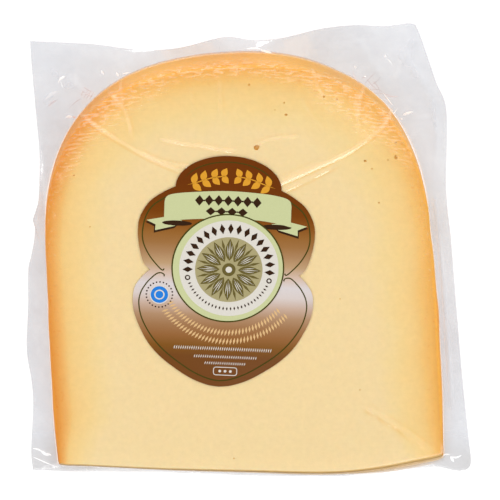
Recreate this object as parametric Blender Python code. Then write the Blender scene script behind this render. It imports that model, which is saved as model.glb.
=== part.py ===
"""A wedge of smoked gouda, vacuum sealed in a clear pouch, with a die-cut label on the front of the pouch.

The wedge is a slice of a wheel, between two planes through the wheel's axis. It lies on its back cut face at
z = 0, with the thin end at -Y and the wheel's rim at +Y, so its front cut face looks up. The pouch is one solid:
the film drawn tight round the wedge, and the sealed flange that stands out from it halfway up.
"""

import math

import bmesh
import bpy
from mathutils import Matrix

MM = 0.001

# The wheel that the wedge was cut from, measured over the film.
WHEEL_HALF_THICKNESS = 55.1 * MM  # the wheel's thickness runs along X
RIM_START = 71.4 * MM  # distance from the wheel's axis to where the rim's curve begins
RIM_RISE = 60.4 * MM  # from there to the top of the rim
RIM_SQUARENESS = 2.58  # exponent of the rim's superellipse, where 2 would be a true ellipse
RIM_STEPS = 48
WEDGE_ANGLE = math.radians(16.0)
WEDGE_STEPS = 6
EDGE_RADIUS = 0.9 * MM

# The thin end, cut slightly askew: (along the wheel's axis, away from it), left to right.
THIN_END = [(-54.6, 18.2), (-26.0, 14.9), (-0.5, 12.6), (22.2, 10.7), (38.2, 11.4), (54.6, 14.0)]

# How the wedge lies in the pouch.
AXIS_PLACE = (1.49 * MM, -75.06 * MM, 0.0)
WEDGE_TURN = math.radians(3.6)

# The pouch's outline in plan, in millimetres, anticlockwise from its bottom left corner. Each edge is smooth, and
# the edges meet at the corners. The film is drawn in by the wedge, so no edge is straight.
BOTTOM_EDGE = [(-61.5, -62.1), (-39.7, -62.4), (-15.7, -63.1), (-2.0, -64.1), (15.0, -64.2), (28.7, -63.3),
               (37.5, -62.6), (45.0, -61.7), (53.7, -61.1), (59.3, -62.5)]
RIGHT_EDGE = [(61.7, -62.4), (63.15, -60.2), (62.2, -51.0), (60.4, -33.9), (58.9, -16.8), (57.2, 3.0), (55.8, 17.2),
              (55.8, 39.2), (52.7, 47.9), (48.7, 59.7)]
TOP_EDGE = [(47.0, 63.7), (44.9, 64.2), (38.3, 63.4), (29.5, 63.6), (20.0, 62.5), (8.7, 59.9), (0.0, 59.6),
            (-7.0, 60.3), (-18.2, 57.5), (-25.5, 56.7), (-34.0, 57.0), (-44.5, 58.3)]
LEFT_EDGE = [(-61.7, 59.1), (-61.3, 52.0), (-60.0, 36.4), (-59.4, 24.0), (-61.0, 14.3), (-61.6, 1.5),
             (-62.4, -16.0), (-63.15, -28.2), (-61.8, -37.0), (-61.4, -44.0), (-62.0, -56.7)]
SPLINE_STEPS = 4

# The flange, in the plane halfway between the two cut faces.
FLANGE_THICKNESS = 0.8 * MM
FLANGE_RINGS = (0.97, 0.93, 0.88)  # each ring inside the outline, as a share of its size
FLANGE_CORE = 0.6  # the innermost ring, inside the wedge
RIPPLE_SHARE = 0.06  # height of a ripple as a share of the flange's own height
RIPPLE_COUNT = 11

# The label, on the front cut face. Half of its outline is given in millimetres from its middle, top to bottom.
TOP_LOBE_RADII = (14.9, 9.45)
TOP_LOBE_FOOT = 24.4
MIDDLE_LOBE = [(14.9, 24.4), (18.4, 22.5), (22.1, 19.5), (24.5, 15.0), (24.9, 10.6), (24.2, 5.9), (22.9, 1.8),
               (21.0, -0.2)]
LOWER_LOBE = [(21.0, -0.2), (23.0, -2.2), (25.0, -5.3), (25.45, -9.2), (24.9, -12.9), (23.1, -17.3), (20.5, -21.8),
              (17.0, -25.6), (12.8, -28.8), (8.0, -31.7), (3.4, -33.4), (0.0, -33.85)]
LOBE_STEPS = 3
TOP_LOBE_STEPS = 12
LABEL_THICKNESS = 0.25 * MM
LABEL_GAP = 0.3 * MM
LABEL_PLACE = (-4.1 * MM, 72.3 * MM)  # along the wheel's axis, and away from it
LABEL_TURN = math.radians(-6.3)


def clear_scene():
    for old in list(bpy.data.objects):
        bpy.data.objects.remove(old, do_unlink=True)


def make_material(name, colour, roughness):
    material = bpy.data.materials.new(name)
    material.use_nodes = True
    shader = material.node_tree.nodes["Principled BSDF"]
    shader.inputs["Base Color"].default_value = (*colour, 1.0)
    shader.inputs["Roughness"].default_value = roughness
    return material


def make_object(name, shape, material=None, parent=None):
    mesh = bpy.data.meshes.new(name)
    shape.to_mesh(mesh)
    shape.free()
    made = bpy.data.objects.new(name, mesh)
    bpy.context.scene.collection.objects.link(made)
    made.parent = parent
    if material:
        mesh.materials.append(material)
    mesh.shade_smooth()
    mesh.set_sharp_from_angle(angle=math.radians(30.0))
    return made


def make_empty(name, location=(0.0, 0.0, 0.0), rotation=(0.0, 0.0, 0.0), parent=None):
    empty = bpy.data.objects.new(name, None)
    bpy.context.scene.collection.objects.link(empty)
    empty.location = location
    empty.rotation_euler = rotation
    empty.parent = parent
    return empty


def smooth_through(points, steps):
    """Points along a Catmull-Rom curve through the given ones, with the last one left out."""
    ends = [points[0], *points, points[-1]]
    curve = []
    for before, start, end, after in zip(ends, ends[1:], ends[2:], ends[3:]):
        for step in range(steps):
            t = step / steps
            curve.append(tuple(
                0.5 * (2 * b + (c - a) * t + (2 * a - 5 * b + 4 * c - d) * t**2 + (3 * b - a - 3 * c + d) * t**3)
                for a, b, c, d in zip(before, start, end, after)
            ))
    return curve


def add_outline(shape, outline):
    """One flat face with the given outline."""
    return shape.faces.new([shape.verts.new((x, y, 0.0)) for x, y in outline])


def wheel_section():
    """The cut face, anticlockwise: X runs along the wheel's axis and Y away from it."""
    section = [(x * MM, y * MM) for x, y in smooth_through(THIN_END, 2)]
    section.append((THIN_END[-1][0] * MM, THIN_END[-1][1] * MM))
    for step in range(RIM_STEPS + 1):
        turn = math.pi * step / RIM_STEPS
        across, up = math.cos(turn), math.sin(turn)
        section.append((
            WHEEL_HALF_THICKNESS * math.copysign(abs(across) ** (2 / RIM_SQUARENESS), across),
            RIM_START + RIM_RISE * up ** (2 / RIM_SQUARENESS),
        ))
    return section


def make_body(material, wheel_axis):
    """The wedge: the cut face turned about the wheel's axis, with its edges rounded by the taut film."""
    shape = bmesh.new()
    face = add_outline(shape, wheel_section())
    bmesh.ops.spin(
        shape, geom=[face, *face.edges, *face.verts], cent=(0, 0, 0), axis=(1, 0, 0), angle=WEDGE_ANGLE,
        steps=WEDGE_STEPS,
    )
    bmesh.ops.recalc_face_normals(shape, faces=shape.faces)
    cut_faces = [face for face in shape.faces if len(face.verts) > 4]
    rims = {edge for face in cut_faces for edge in face.edges}
    bmesh.ops.bevel(
        shape, geom=list(rims), offset=EDGE_RADIUS, affect="EDGES", segments=2, profile=0.5, material=-1
    )
    return make_object("pouch", shape, material, wheel_axis)


def pouch_outline():
    edges = [BOTTOM_EDGE, RIGHT_EDGE, TOP_EDGE, LEFT_EDGE]
    outline = []
    for edge, following in zip(edges, edges[1:] + edges[:1]):
        outline += smooth_through([*edge, following[0]], SPLINE_STEPS)
    return [(x * MM, y * MM) for x, y in outline]


def flange_height(x, y):
    """Height of the plane halfway between the cut faces, above a point of the plan."""
    away = (y - AXIS_PLACE[1]) * math.cos(WEDGE_TURN) - (x - AXIS_PLACE[0]) * math.sin(WEDGE_TURN)
    return away * math.tan(WEDGE_ANGLE / 2)


def make_flange():
    """The sealed flange as a rippled sheet of even thickness, whose core is hidden inside the wedge."""
    shape = bmesh.new()
    rim = [shape.verts.new((x, y, 0.0)) for x, y in pouch_outline()]
    loop = [shape.edges.new(pair) for pair in zip(rim, rim[1:] + rim[:1])]
    size = 1.0
    ring_sizes = dict.fromkeys(rim, size)
    for ring in (*FLANGE_RINGS, FLANGE_CORE):
        made = bmesh.ops.extrude_edge_only(shape, edges=loop)["geom"]
        verts = {item for item in made if isinstance(item, bmesh.types.BMVert)}
        loop = [item for item in made if isinstance(item, bmesh.types.BMEdge) and verts.issuperset(item.verts)]
        bmesh.ops.scale(shape, vec=(ring / size, ring / size, 1.0), verts=list(verts))
        size = ring
        ring_sizes.update(dict.fromkeys(verts, size))
    bmesh.ops.edgeloop_fill(shape, edges=loop)
    bmesh.ops.recalc_face_normals(shape, faces=shape.faces)
    for vert, size in ring_sizes.items():
        middle = flange_height(vert.co.x, vert.co.y)
        spread = max(0.0, (size - FLANGE_RINGS[-1]) / (1.0 - FLANGE_RINGS[-1]))
        wave = math.sin(RIPPLE_COUNT * math.atan2(vert.co.y, vert.co.x))
        vert.co.z = middle * (1.0 + RIPPLE_SHARE * spread * wave) - FLANGE_THICKNESS / 2
    lower = list(shape.faces)
    upper = bmesh.ops.extrude_face_region(shape, geom=lower)["geom"]
    raised = [item for item in upper if isinstance(item, bmesh.types.BMVert)]
    bmesh.ops.translate(shape, vec=(0.0, 0.0, FLANGE_THICKNESS), verts=raised)
    bmesh.ops.recalc_face_normals(shape, faces=shape.faces)
    flange = make_object("flange_guide", shape)
    flange.hide_render = True
    flange.display_type = "WIRE"
    return flange


def make_pouch(material, wheel_axis):
    pouch = make_body(material, wheel_axis)
    union = pouch.modifiers.new("sealed flange", "BOOLEAN")
    union.operation = "UNION"
    union.solver = "EXACT"
    union.object = make_flange()
    return pouch


def label_outline():
    """The label's whole outline, clockwise from the top: the lobes of its right half, then their mirror image."""
    width, rise = TOP_LOBE_RADII
    quarter = [math.pi / 2 * step / TOP_LOBE_STEPS for step in range(TOP_LOBE_STEPS)]
    half = [(width * math.sin(turn), TOP_LOBE_FOOT + rise * math.cos(turn)) for turn in quarter]
    half += smooth_through(MIDDLE_LOBE, LOBE_STEPS) + smooth_through(LOWER_LOBE, LOBE_STEPS) + [LOWER_LOBE[-1]]
    mirrored = [(-x, y) for x, y in reversed(half[1:-1])]
    return [(x * MM, y * MM) for x, y in half + mirrored]


def make_label(material, front_face):
    """A thin card that lies just clear of the front film, turned a little against the wedge."""
    shape = bmesh.new()
    face = add_outline(shape, label_outline())
    upper = bmesh.ops.extrude_face_region(shape, geom=[face])["geom"]
    raised = [item for item in upper if isinstance(item, bmesh.types.BMVert)]
    bmesh.ops.translate(shape, vec=(0.0, 0.0, LABEL_THICKNESS), verts=raised)
    bmesh.ops.recalc_face_normals(shape, faces=shape.faces)
    bmesh.ops.transform(shape, matrix=Matrix.Rotation(LABEL_TURN, 4, "Z"), verts=shape.verts)
    label = make_object("label", shape, material, front_face)
    label.location = (*LABEL_PLACE, LABEL_GAP)
    return label


def main():
    clear_scene()
    wheel_axis = make_empty("wheel_axis", location=AXIS_PLACE, rotation=(0.0, 0.0, WEDGE_TURN))
    front_face = make_empty("front_face", rotation=(WEDGE_ANGLE, 0.0, 0.0), parent=wheel_axis)
    make_pouch(make_material("cheese under clear film", (0.87, 0.68, 0.36), 0.25), wheel_axis)
    make_label(make_material("coated label paper", (0.17, 0.07, 0.02), 0.35), front_face)


main()
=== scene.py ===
"""A wedge of smoked gouda in a clear vacuum pouch with a die-cut label: the finished look.

The wedge lies on its back cut face, with its thin end at -Y and the wheel's rim at +Y, so its front cut face
looks up at the camera. Shapes are made in millimetres, and become metres in make_piece. Their axes are:

- the row frame, seen from above as the plan;
- the section, which is a plane through the wheel's axis: along the axis, and away from it;
- the label, right and up from its middle.
"""

import logging
import math
import random
from collections.abc import Mapping, Sequence
from dataclasses import dataclass, field
from enum import Enum

import bmesh
import bpy
import numpy as np
from mathutils import Matrix, Vector, noise

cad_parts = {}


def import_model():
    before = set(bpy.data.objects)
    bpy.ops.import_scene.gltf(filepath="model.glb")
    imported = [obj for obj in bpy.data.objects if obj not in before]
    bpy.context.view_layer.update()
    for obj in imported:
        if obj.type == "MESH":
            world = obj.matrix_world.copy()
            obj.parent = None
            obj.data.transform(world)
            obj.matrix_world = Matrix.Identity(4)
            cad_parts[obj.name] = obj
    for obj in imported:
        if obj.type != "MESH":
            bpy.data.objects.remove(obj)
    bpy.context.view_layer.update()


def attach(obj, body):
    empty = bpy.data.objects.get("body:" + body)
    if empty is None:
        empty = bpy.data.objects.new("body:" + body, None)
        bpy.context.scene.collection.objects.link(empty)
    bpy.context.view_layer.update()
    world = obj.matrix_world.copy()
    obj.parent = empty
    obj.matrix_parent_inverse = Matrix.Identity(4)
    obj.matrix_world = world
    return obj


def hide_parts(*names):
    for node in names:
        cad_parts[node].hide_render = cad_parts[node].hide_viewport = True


MM = 0.001
LOG = logging.getLogger("gouda_wedge")

Pair = tuple[float, float]
Route = Sequence[Pair]
Shape = bmesh.types.BMesh
Material = bpy.types.Material


class Slot(Enum):
    """The record's material slots."""

    FILM = "clear_film"
    CHEESE = "cheese"
    PAPER = "label_paper"
    GREEN = "print_green"
    DARK = "print_dark"
    GOLD = "print_gold"
    WHITE = "print_white"
    BLUE = "print_blue"


# ---- Curves and pieces ----


def curve_through(points: Route, steps: int) -> np.ndarray:
    """Rounds off a route with a Catmull-Rom curve.

    Args:
        points: the points that the curve passes.
        steps: the number of steps between two of them.

    Returns:
        The curve's points, with the last one.
    """
    ends = np.array([points[0], *points, points[-1]], float)
    t = (np.arange(steps) / steps)[:, None]
    spans = [
        0.5 * (2 * b + (c - a) * t + (2 * a - 5 * b + 4 * c - d) * t**2 + (3 * b - a - 3 * c + d) * t**3)
        for a, b, c, d in zip(ends, ends[1:], ends[2:], ends[3:])
    ]
    return np.vstack((*spans, ends[-1:]))


def distances(route: np.ndarray) -> np.ndarray:
    """The distance along a route at each of its points."""
    return np.concatenate(([0.0], np.cumsum(np.linalg.norm(np.diff(route, axis=0), axis=1))))


def respace(route: np.ndarray, count: int, closed_end: bool = False) -> np.ndarray:
    """Spaces points evenly along a route.

    Args:
        route: the route's points.
        count: how many points come back.
        closed_end: whether the route's last point is one of them.

    Returns:
        The evenly spaced points.
    """
    run = distances(route)
    places = np.linspace(0.0, run[-1], count, endpoint=closed_end)
    return np.column_stack([np.interp(places, run, column) for column in route.T])


def smooth_step(values: np.ndarray, low: float, high: float) -> np.ndarray:
    """Rises from 0 at low to 1 at high, level at both ends."""
    share = np.clip((values - low) / (high - low), 0.0, 1.0)
    return share * share * (3.0 - 2.0 * share)


def turned_back(points: np.ndarray, turn: float) -> np.ndarray:
    """Turns points clockwise about the origin."""
    cos, sin = math.cos(turn), math.sin(turn)
    return np.column_stack((points[:, 0] * cos + points[:, 1] * sin, points[:, 1] * cos - points[:, 0] * sin))


def verts_of(items: Sequence) -> list[bmesh.types.BMVert]:
    """The points among an operator's results."""
    return [item for item in items if isinstance(item, bmesh.types.BMVert)]


def make_piece(
    name: str, shape: Shape, materials: Sequence[Material], sharp: float = 35.0
) -> bpy.types.Object:
    """Makes an object of a finished shape, and frees the shape.

    Args:
        name: the object's name.
        shape: the shape in place, in millimetres.
        materials: one for each material number that the shape uses.
        sharp: the angle in degrees from which an edge stays sharp.

    Returns:
        The object, at the origin, with its mesh in metres.
    """
    bmesh.ops.scale(shape, vec=(MM, MM, MM), verts=shape.verts)
    mesh = bpy.data.meshes.new(name)
    shape.to_mesh(mesh)
    shape.free()
    mesh.shade_smooth()
    mesh.set_sharp_from_angle(angle=math.radians(sharp))
    for material in materials:
        mesh.materials.append(material)
    piece = bpy.data.objects.new(name, mesh)
    bpy.context.scene.collection.objects.link(piece)
    return piece


def settle(piece: bpy.types.Object, slot: Slot, replaces: str = "") -> None:
    """Ties a piece to the frame.

    Args:
        piece: the finished piece.
        slot: the record's slot that its finish belongs to; it is only logged.
        replaces: the CAD node that it stands for, if any.
    """
    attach(piece, "root")
    if replaces:
        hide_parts(replaces)
    LOG.info("%s: %d faces, slot %s", piece.name, len(piece.data.polygons), slot.value)


# ---- Materials ----


def linear(code: str) -> tuple[float, float, float, float]:
    """Turns an sRGB colour such as #e8a860 into linear red, green, blue and alpha."""
    channels = [int(code[at : at + 2], 16) / 255 for at in (1, 3, 5)]
    return (*(c / 12.92 if c <= 0.04045 else ((c + 0.055) / 1.055) ** 2.4 for c in channels), 1.0)


class Nodes:
    """The nodes of a material or of the world, while they are being added."""

    def __init__(self, owner: Material | bpy.types.World) -> None:
        """Clears the owner's nodes, and adds its coordinates.

        Args:
            owner: the material or the world that the nodes are for.
        """
        owner.use_nodes = True
        self.owner, self.tree = owner, owner.node_tree
        self.tree.nodes.clear()
        self.coordinates = self.add("TexCoord").outputs
        self.place = self.coordinates["Object"]

    def add(
        self, kind: str, inputs: Mapping | Sequence = (), stops: Sequence = (), **settings
    ) -> bpy.types.Node:
        """Adds a node with its settings and links.

        Args:
            kind: the type of node, without ShaderNode, and after a dot its operation, if it has one.
            inputs: what the sockets take, by name or in order: values, sockets, or nodes, whose first
                output is taken.
            stops: a ramp's stops, as pairs of place and colour.
            settings: the node's own properties.

        Returns:
            The new node.
        """
        kind, _, operation = kind.partition(".")
        node = self.tree.nodes.new("ShaderNode" + kind)
        if operation:
            node.operation = operation
        for name, value in settings.items():
            setattr(node, name, value)
        for key, value in inputs.items() if isinstance(inputs, Mapping) else enumerate(inputs):
            named = [socket for socket in node.inputs if socket.enabled and socket.name == key]
            socket = named[0] if named else node.inputs[key]
            if isinstance(value, bpy.types.Node):
                value = next(output for output in value.outputs if output.enabled)
            if isinstance(value, bpy.types.NodeSocket):
                self.tree.links.new(value, socket)
            else:
                socket.default_value = value
        for number, (place, colour) in enumerate(stops):
            elements = node.color_ramp.elements
            element = elements[number] if number < len(elements) else elements.new(place)
            element.position = place
            element.color = linear(colour)
        return node

    def surface(self, shader: bpy.types.Node) -> Material:
        """Ends a material with its shader."""
        self.add("OutputMaterial", {"Surface": shader})
        return self.owner


# ---- How the wedge lies, and the outline of its cut face ----


@dataclass(frozen=True)
class WedgePlace:
    """Where the wheel's axis runs in the row frame, and how wide the wedge opens from it."""

    axis: Pair = (1.49, -75.06)
    turn: float = math.radians(3.6)
    angle: float = math.radians(16.0)

    def to_row(
        self, section: np.ndarray, opening: np.ndarray | float, rise: np.ndarray | float = 0.0
    ) -> np.ndarray:
        """Places points of a section in the row frame.

        Args:
            section: the points, along the wheel's axis and away from it.
            opening: the angle from the floor up to their plane.
            rise: their height above that plane.

        Returns:
            The points in the row frame.
        """
        along, away = section.T
        back = away * np.cos(opening) - rise * np.sin(opening)
        up = away * np.sin(opening) + rise * np.cos(opening)
        cos, sin = math.cos(self.turn), math.sin(self.turn)
        x, y = self.axis
        return np.column_stack((x + along * cos - back * sin, y + along * sin + back * cos, up))

    def from_row(self, plan: np.ndarray) -> np.ndarray:
        """Places points of the plan along the wheel's axis and away from it, as seen from above."""
        return turned_back(plan - self.axis, self.turn)

    def matrix(self) -> Matrix:
        """Matrix from the wheel's own axes to the row frame."""
        return Matrix.Translation((*self.axis, 0.0)) @ Matrix.Rotation(self.turn, 4, "Z")


@dataclass(frozen=True)
class CutFace:
    """The wheel's section, over the film: a squarish rim, and the thin end, cut slightly askew."""

    half_thickness: float = 55.1
    rim_start: float = 71.4
    rim_rise: float = 60.4
    squareness: float = 2.58
    rim_points: int = 240
    thin_end: Route = (
        (-54.6, 18.2), (-26.0, 14.9), (-0.5, 12.6), (22.2, 10.7), (38.2, 11.4), (54.6, 14.0),
    )
    shoulder: float = math.radians(45.0)
    corner_window: float = 3.2
    grain: float = 0.1
    # How far the thin end leans, everywhere and at its right corner: from where, and within which distances.
    lean: float = 1.2
    lean_away: Pair = (9.0, 20.0)
    corner_lean: float = 1.5
    corner_along: Pair = (22.0, 52.0)
    middle: Pair = (0.0, 66.0)
    # How far the wheel bulges past an even one: at each angle about the middle, in degrees, by how much.
    bulges: Route = (
        (-50, 0.0), (-37, 0.6), (-30, 0.8), (-20, 0.7), (-10, 0.8), (-3, 0.42), (3, 0.22), (9, 0.0),
        (15, -0.24), (24, 0.0), (44, -0.05), (51, -0.42), (58, -0.7), (62, -0.9), (68, -0.65), (74, -0.28),
        (79, 0.0), (87, 0.3), (96, 0.2), (106, -0.05), (130, -0.12), (148, -0.18), (154, -0.35), (160, -0.66),
        (166, -0.82), (178, -0.68), (185, -0.3), (198, 0.12), (205, 0.27), (212, 0.5), (219, 0.3), (226, 0.0),
    )

    def rim(self, start: float, end: float) -> np.ndarray:
        """Traces a part of the rim.

        Args:
            start: where it starts, as a turn about the rim's middle.
            end: where it ends.

        Returns:
            Its points.
        """
        turns = np.linspace(start, end, self.rim_points)
        across, up = np.cos(turns), np.abs(np.sin(turns))
        power = 2 / self.squareness
        along = self.half_thickness * np.sign(across) * np.abs(across) ** power
        return np.column_stack((along, self.rim_start + self.rim_rise * up**power))

    def stretches(self) -> list[np.ndarray]:
        """Traces the outline, anticlockwise.

        Returns:
            Its four stretches: thin end, right side, over the rim, left side.
        """
        thin = curve_through(self.thin_end, 12)
        right = np.vstack((thin[-1:], self.rim(0.0, self.shoulder)))
        left = np.vstack((self.rim(math.pi - self.shoulder, math.pi), thin[:1]))
        return [thin, right, self.rim(self.shoulder, math.pi - self.shoulder), left]

    def leaned(self, section: np.ndarray, down: np.ndarray | float) -> np.ndarray:
        """Leans the thin end outwards towards the back, most at its right corner, as the knife left it.

        Args:
            section: points of a section.
            down: how far back their plane is, from 0 at the front cut face to 1 at the back one.

        Returns:
            The points, moved towards the wheel's axis near the thin end.
        """
        along, away = section.T
        near = np.clip(1.0 - (away - self.lean_away[0]) / self.lean_away[1], 0.0, 1.0)
        reach = self.lean + self.corner_lean * smooth_step(along, *self.corner_along)
        return np.column_stack((along, away - reach * down * near))

    def outwards(self, trace: np.ndarray, reach: int) -> np.ndarray:
        """Finds which way is outwards.

        Args:
            trace: a closed route, anticlockwise.
            reach: over how many of its points the direction is taken.

        Returns:
            At each point, the direction that points outwards.
        """
        ahead = np.roll(trace, -reach // 2, axis=0) - np.roll(trace, reach // 2, axis=0)
        across = np.column_stack((ahead[:, 1], -ahead[:, 0]))
        return across / np.linalg.norm(across, axis=1)[:, None]

    def outline(self, counts: Sequence[int], inset: float = 0.0) -> tuple[np.ndarray, np.ndarray]:
        """Traces the outline with rounded corners.

        Args:
            counts: how many points each stretch gets.
            inset: how far inside the outline they lie.

        Returns:
            The points, and at each the direction that points outwards.
        """
        fine = [respace(part, round(distances(part)[-1] / self.grain)) for part in self.stretches()]
        marks = np.cumsum([0, *(len(part) for part in fine)])
        half = round(self.corner_window / self.grain / 2)
        weights = np.hanning(2 * half + 3)[1:-1]
        weights /= weights.sum()
        trace = np.column_stack([
            np.convolve(np.concatenate((column[-half:], column, column[:half])), weights, "valid")
            for column in np.vstack(fine).T
        ])
        turns = np.degrees(np.arctan2(*(trace - self.middle).T[::-1]))
        angles, bulges = curve_through(self.bulges, 6).T
        trace += self.outwards(trace, half) * np.interp(turns, angles, bulges, period=360.0)[:, None]
        places = np.concatenate([
            np.linspace(start, end, count, endpoint=False)
            for start, end, count in zip(marks, marks[1:], counts)
        ])
        steps = np.arange(len(trace))
        points, normals = (
            np.column_stack([np.interp(places, steps, column, period=len(trace)) for column in values.T])
            for values in (trace, self.outwards(trace, half))
        )
        normals /= np.linalg.norm(normals, axis=1)[:, None]
        return points - normals * inset, normals


# ---- Cheese ----


@dataclass(frozen=True)
class SmokedGouda:
    """Smoked gouda: pale paste that deepens through gold to an orange smoked rind, moist under the film."""

    place: WedgePlace
    face: CutFace
    film: float = 0.25
    # Shares of the reach below, from a little outside the rind to the pale paste.
    rind_stops: tuple = (
        (0.0, "#e8983e"), (0.05, "#f0a449"), (0.082, "#fab650"), (0.1, "#f6b44c"), (0.12, "#efb158"),
        (0.176, "#f4bb63"), (0.229, "#f6c16e"), (0.282, "#f8c876"), (0.335, "#f8cd81"), (0.414, "#f9d38a"),
        (0.493, "#fad68f"), (0.6, "#fad994"), (0.757, "#f9dc9c"), (1.0, "#f9dea6"),
    )
    rind_reach: float = 19.5
    rind_start: float = 1.6
    # The smoke colour tints specks near the rind. It is also painted shade along the left edge.
    smoke_and_shade: str = "#da770a"
    left_shade_span: Pair = (-30.0, -52.0)
    left_shade_depth: Pair = (5.4, 0.6)
    left_shade_share: float = 0.55
    # Where the rind thins out towards the knife's end, and how much sooner the paste turns pale there.
    thinning: tuple[float, float, float] = (-47.0, -62.0, 1.8)
    blush_size: float = 14.0
    blush_range: Pair = (0.72, 1.28)
    mottle_size: float = 1.6
    speck_size: float = 0.9
    speck_depth: Pair = (7.0, 1.0)
    speck_share: float = 0.35
    drag: Pair = (9.0, 0.8)

    def depth(self, nodes: Nodes) -> bpy.types.Node:
        """Adds nodes for the depth under the rind, in millimetres.

        Args:
            nodes: the material's nodes.

        Returns:
            The node whose value is the depth.
        """
        add, reach = nodes.add, self.face.half_thickness
        axis = add("Mapping", {
            "Vector": nodes.place, "Location": (self.place.axis[0] * MM, self.place.axis[1] * MM, 0.0),
            "Rotation": (0.0, 0.0, self.place.turn), "Scale": (MM, MM, MM),
        }, vector_type="TEXTURE")
        along, back, up = add("SeparateXYZ", [axis]).outputs
        square = add("Math.MULTIPLY_ADD", [up, up, add("Math.POWER", [back, 2.0])])
        past = add("Math.SUBTRACT", [add("Math.SQRT", [square]), self.face.rim_start])
        sides = (
            (add("Math.ABSOLUTE", [along]), reach),
            (add("Math.MAXIMUM", [past, 0.0]), self.face.rim_rise),
        )
        total = add("Math.ADD", [
            add("Math.POWER", [add("Math.DIVIDE", [value, most - self.film]), self.face.squareness])
            for value, most in sides
        ])
        ring = add("Math.POWER", [total, 1 / self.face.squareness])
        return add("Math.MULTIPLY_ADD", [ring, -reach, reach])

    def material(self) -> Material:
        """Makes the paste and rind.

        Returns:
            The material.
        """
        nodes = Nodes(bpy.data.materials.new("smoked gouda"))
        add, place = nodes.add, nodes.place
        across, along = add("SeparateXYZ", [place]).outputs[:2]
        start, end, most = self.thinning
        thinned = add("MapRange", [along, start * MM, end * MM, 1.0, most], interpolation_type="SMOOTHSTEP")
        depth = add("Math.MULTIPLY", [self.depth(nodes), thinned])
        blush = add("TexNoise", {
            "Vector": place, "Scale": 1 / (self.blush_size * MM), "Detail": 3.0, "Roughness": 0.55
        })
        uneven = add("MapRange", [blush, 0.0, 1.0, *self.blush_range])
        moved = add("Math.MULTIPLY_ADD", [depth, uneven, self.rind_start])
        share = add("Math.DIVIDE", [moved, self.rind_reach], use_clamp=True)
        ramp = add("ValToRGB", {"Fac": share}, stops=self.rind_stops)
        # Curd grains show as a faint mottle, lighter and darker by a few parts in a hundred.
        mottle = add("TexNoise", {
            "Vector": place, "Scale": 1 / (self.mottle_size * MM), "Detail": 5.0, "Roughness": 0.65
        })
        value = add("MapRange", [mottle, 0.0, 1.0, 0.86, 1.0])
        toned = add("HueSaturation", {"Color": ramp, "Value": value})
        # Smoke settles in specks near the rind.
        specks = add("TexNoise", {
            "Vector": place, "Scale": 1 / (self.speck_size * MM), "Detail": 2.0, "Roughness": 0.5
        })
        sharp = add("MapRange", [specks, 0.62, 0.75])
        near = add("MapRange", [depth, *self.speck_depth, 0.0, self.speck_share])
        # Painted shade: near the rind on the left, the colour darkens towards the smoke colour, where the
        # rounded left edge turns away from the light.
        start, end = self.left_shade_span
        side = add("MapRange", [across, start * MM, end * MM], interpolation_type="SMOOTHSTEP")
        edge = add("MapRange", [depth, *self.left_shade_depth, 0.0, self.left_shade_share])
        smoked = add("Math.MULTIPLY_ADD", [sharp, near, add("Math.MULTIPLY", [side, edge])], use_clamp=True)
        colour = add("Mix", {"Factor": smoked, "A": toned, "B": linear(self.smoke_and_shade)}, data_type="RGBA")
        # The knife leaves faint drag lines along the cut.
        length, pitch = self.drag
        drag = add("Mapping", {
            "Vector": place, "Scale": (1 / (length * MM), 1 / (pitch * MM), 1 / (pitch * MM))
        })
        lines = add("TexNoise", {"Vector": drag, "Scale": 1.0, "Detail": 3.0})
        relief = add("Math.ADD", [mottle, lines])
        return nodes.surface(add("BsdfPrincipled", {
            "Base Color": colour,
            "Roughness": add("MapRange", [mottle, 0.0, 1.0, 0.42, 0.6]),
            "Normal": add("Bump", {"Height": relief, "Strength": 0.25, "Distance": 0.12 * MM}),
            "Specular IOR Level": 0.12,
            "Subsurface Weight": 0.2,
            "Subsurface Radius": (1.0, 0.6, 0.3),
            "Subsurface Scale": 2.0 * MM,
        }))


@dataclass(frozen=True)
class EyeWall:
    """Paste that the light passes through more of, moist and amber: the wall of an eye, or, in darker
    colours, the thin end in painted shade.
    """

    name: str = "gouda eye wall"
    colour: str = "#ebb95a"
    deep: str = "#d49c3e"
    grain: float = 0.6

    def material(self) -> Material:
        """Makes the moist paste.

        Returns:
            The material.
        """
        nodes = Nodes(bpy.data.materials.new(self.name))
        add = nodes.add
        grains = add("TexNoise", {"Vector": nodes.place, "Scale": 1 / (self.grain * MM), "Detail": 3.0})
        return nodes.surface(add("BsdfPrincipled", {
            "Base Color": add("Mix", {
                "Factor": grains, "A": linear(self.deep), "B": linear(self.colour)
            }, data_type="RGBA"),
            "Roughness": 0.3,
            "Normal": add("Bump", {"Height": grains, "Strength": 0.3, "Distance": 0.05 * MM}),
            "Specular IOR Level": 0.4,
        }))


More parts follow.
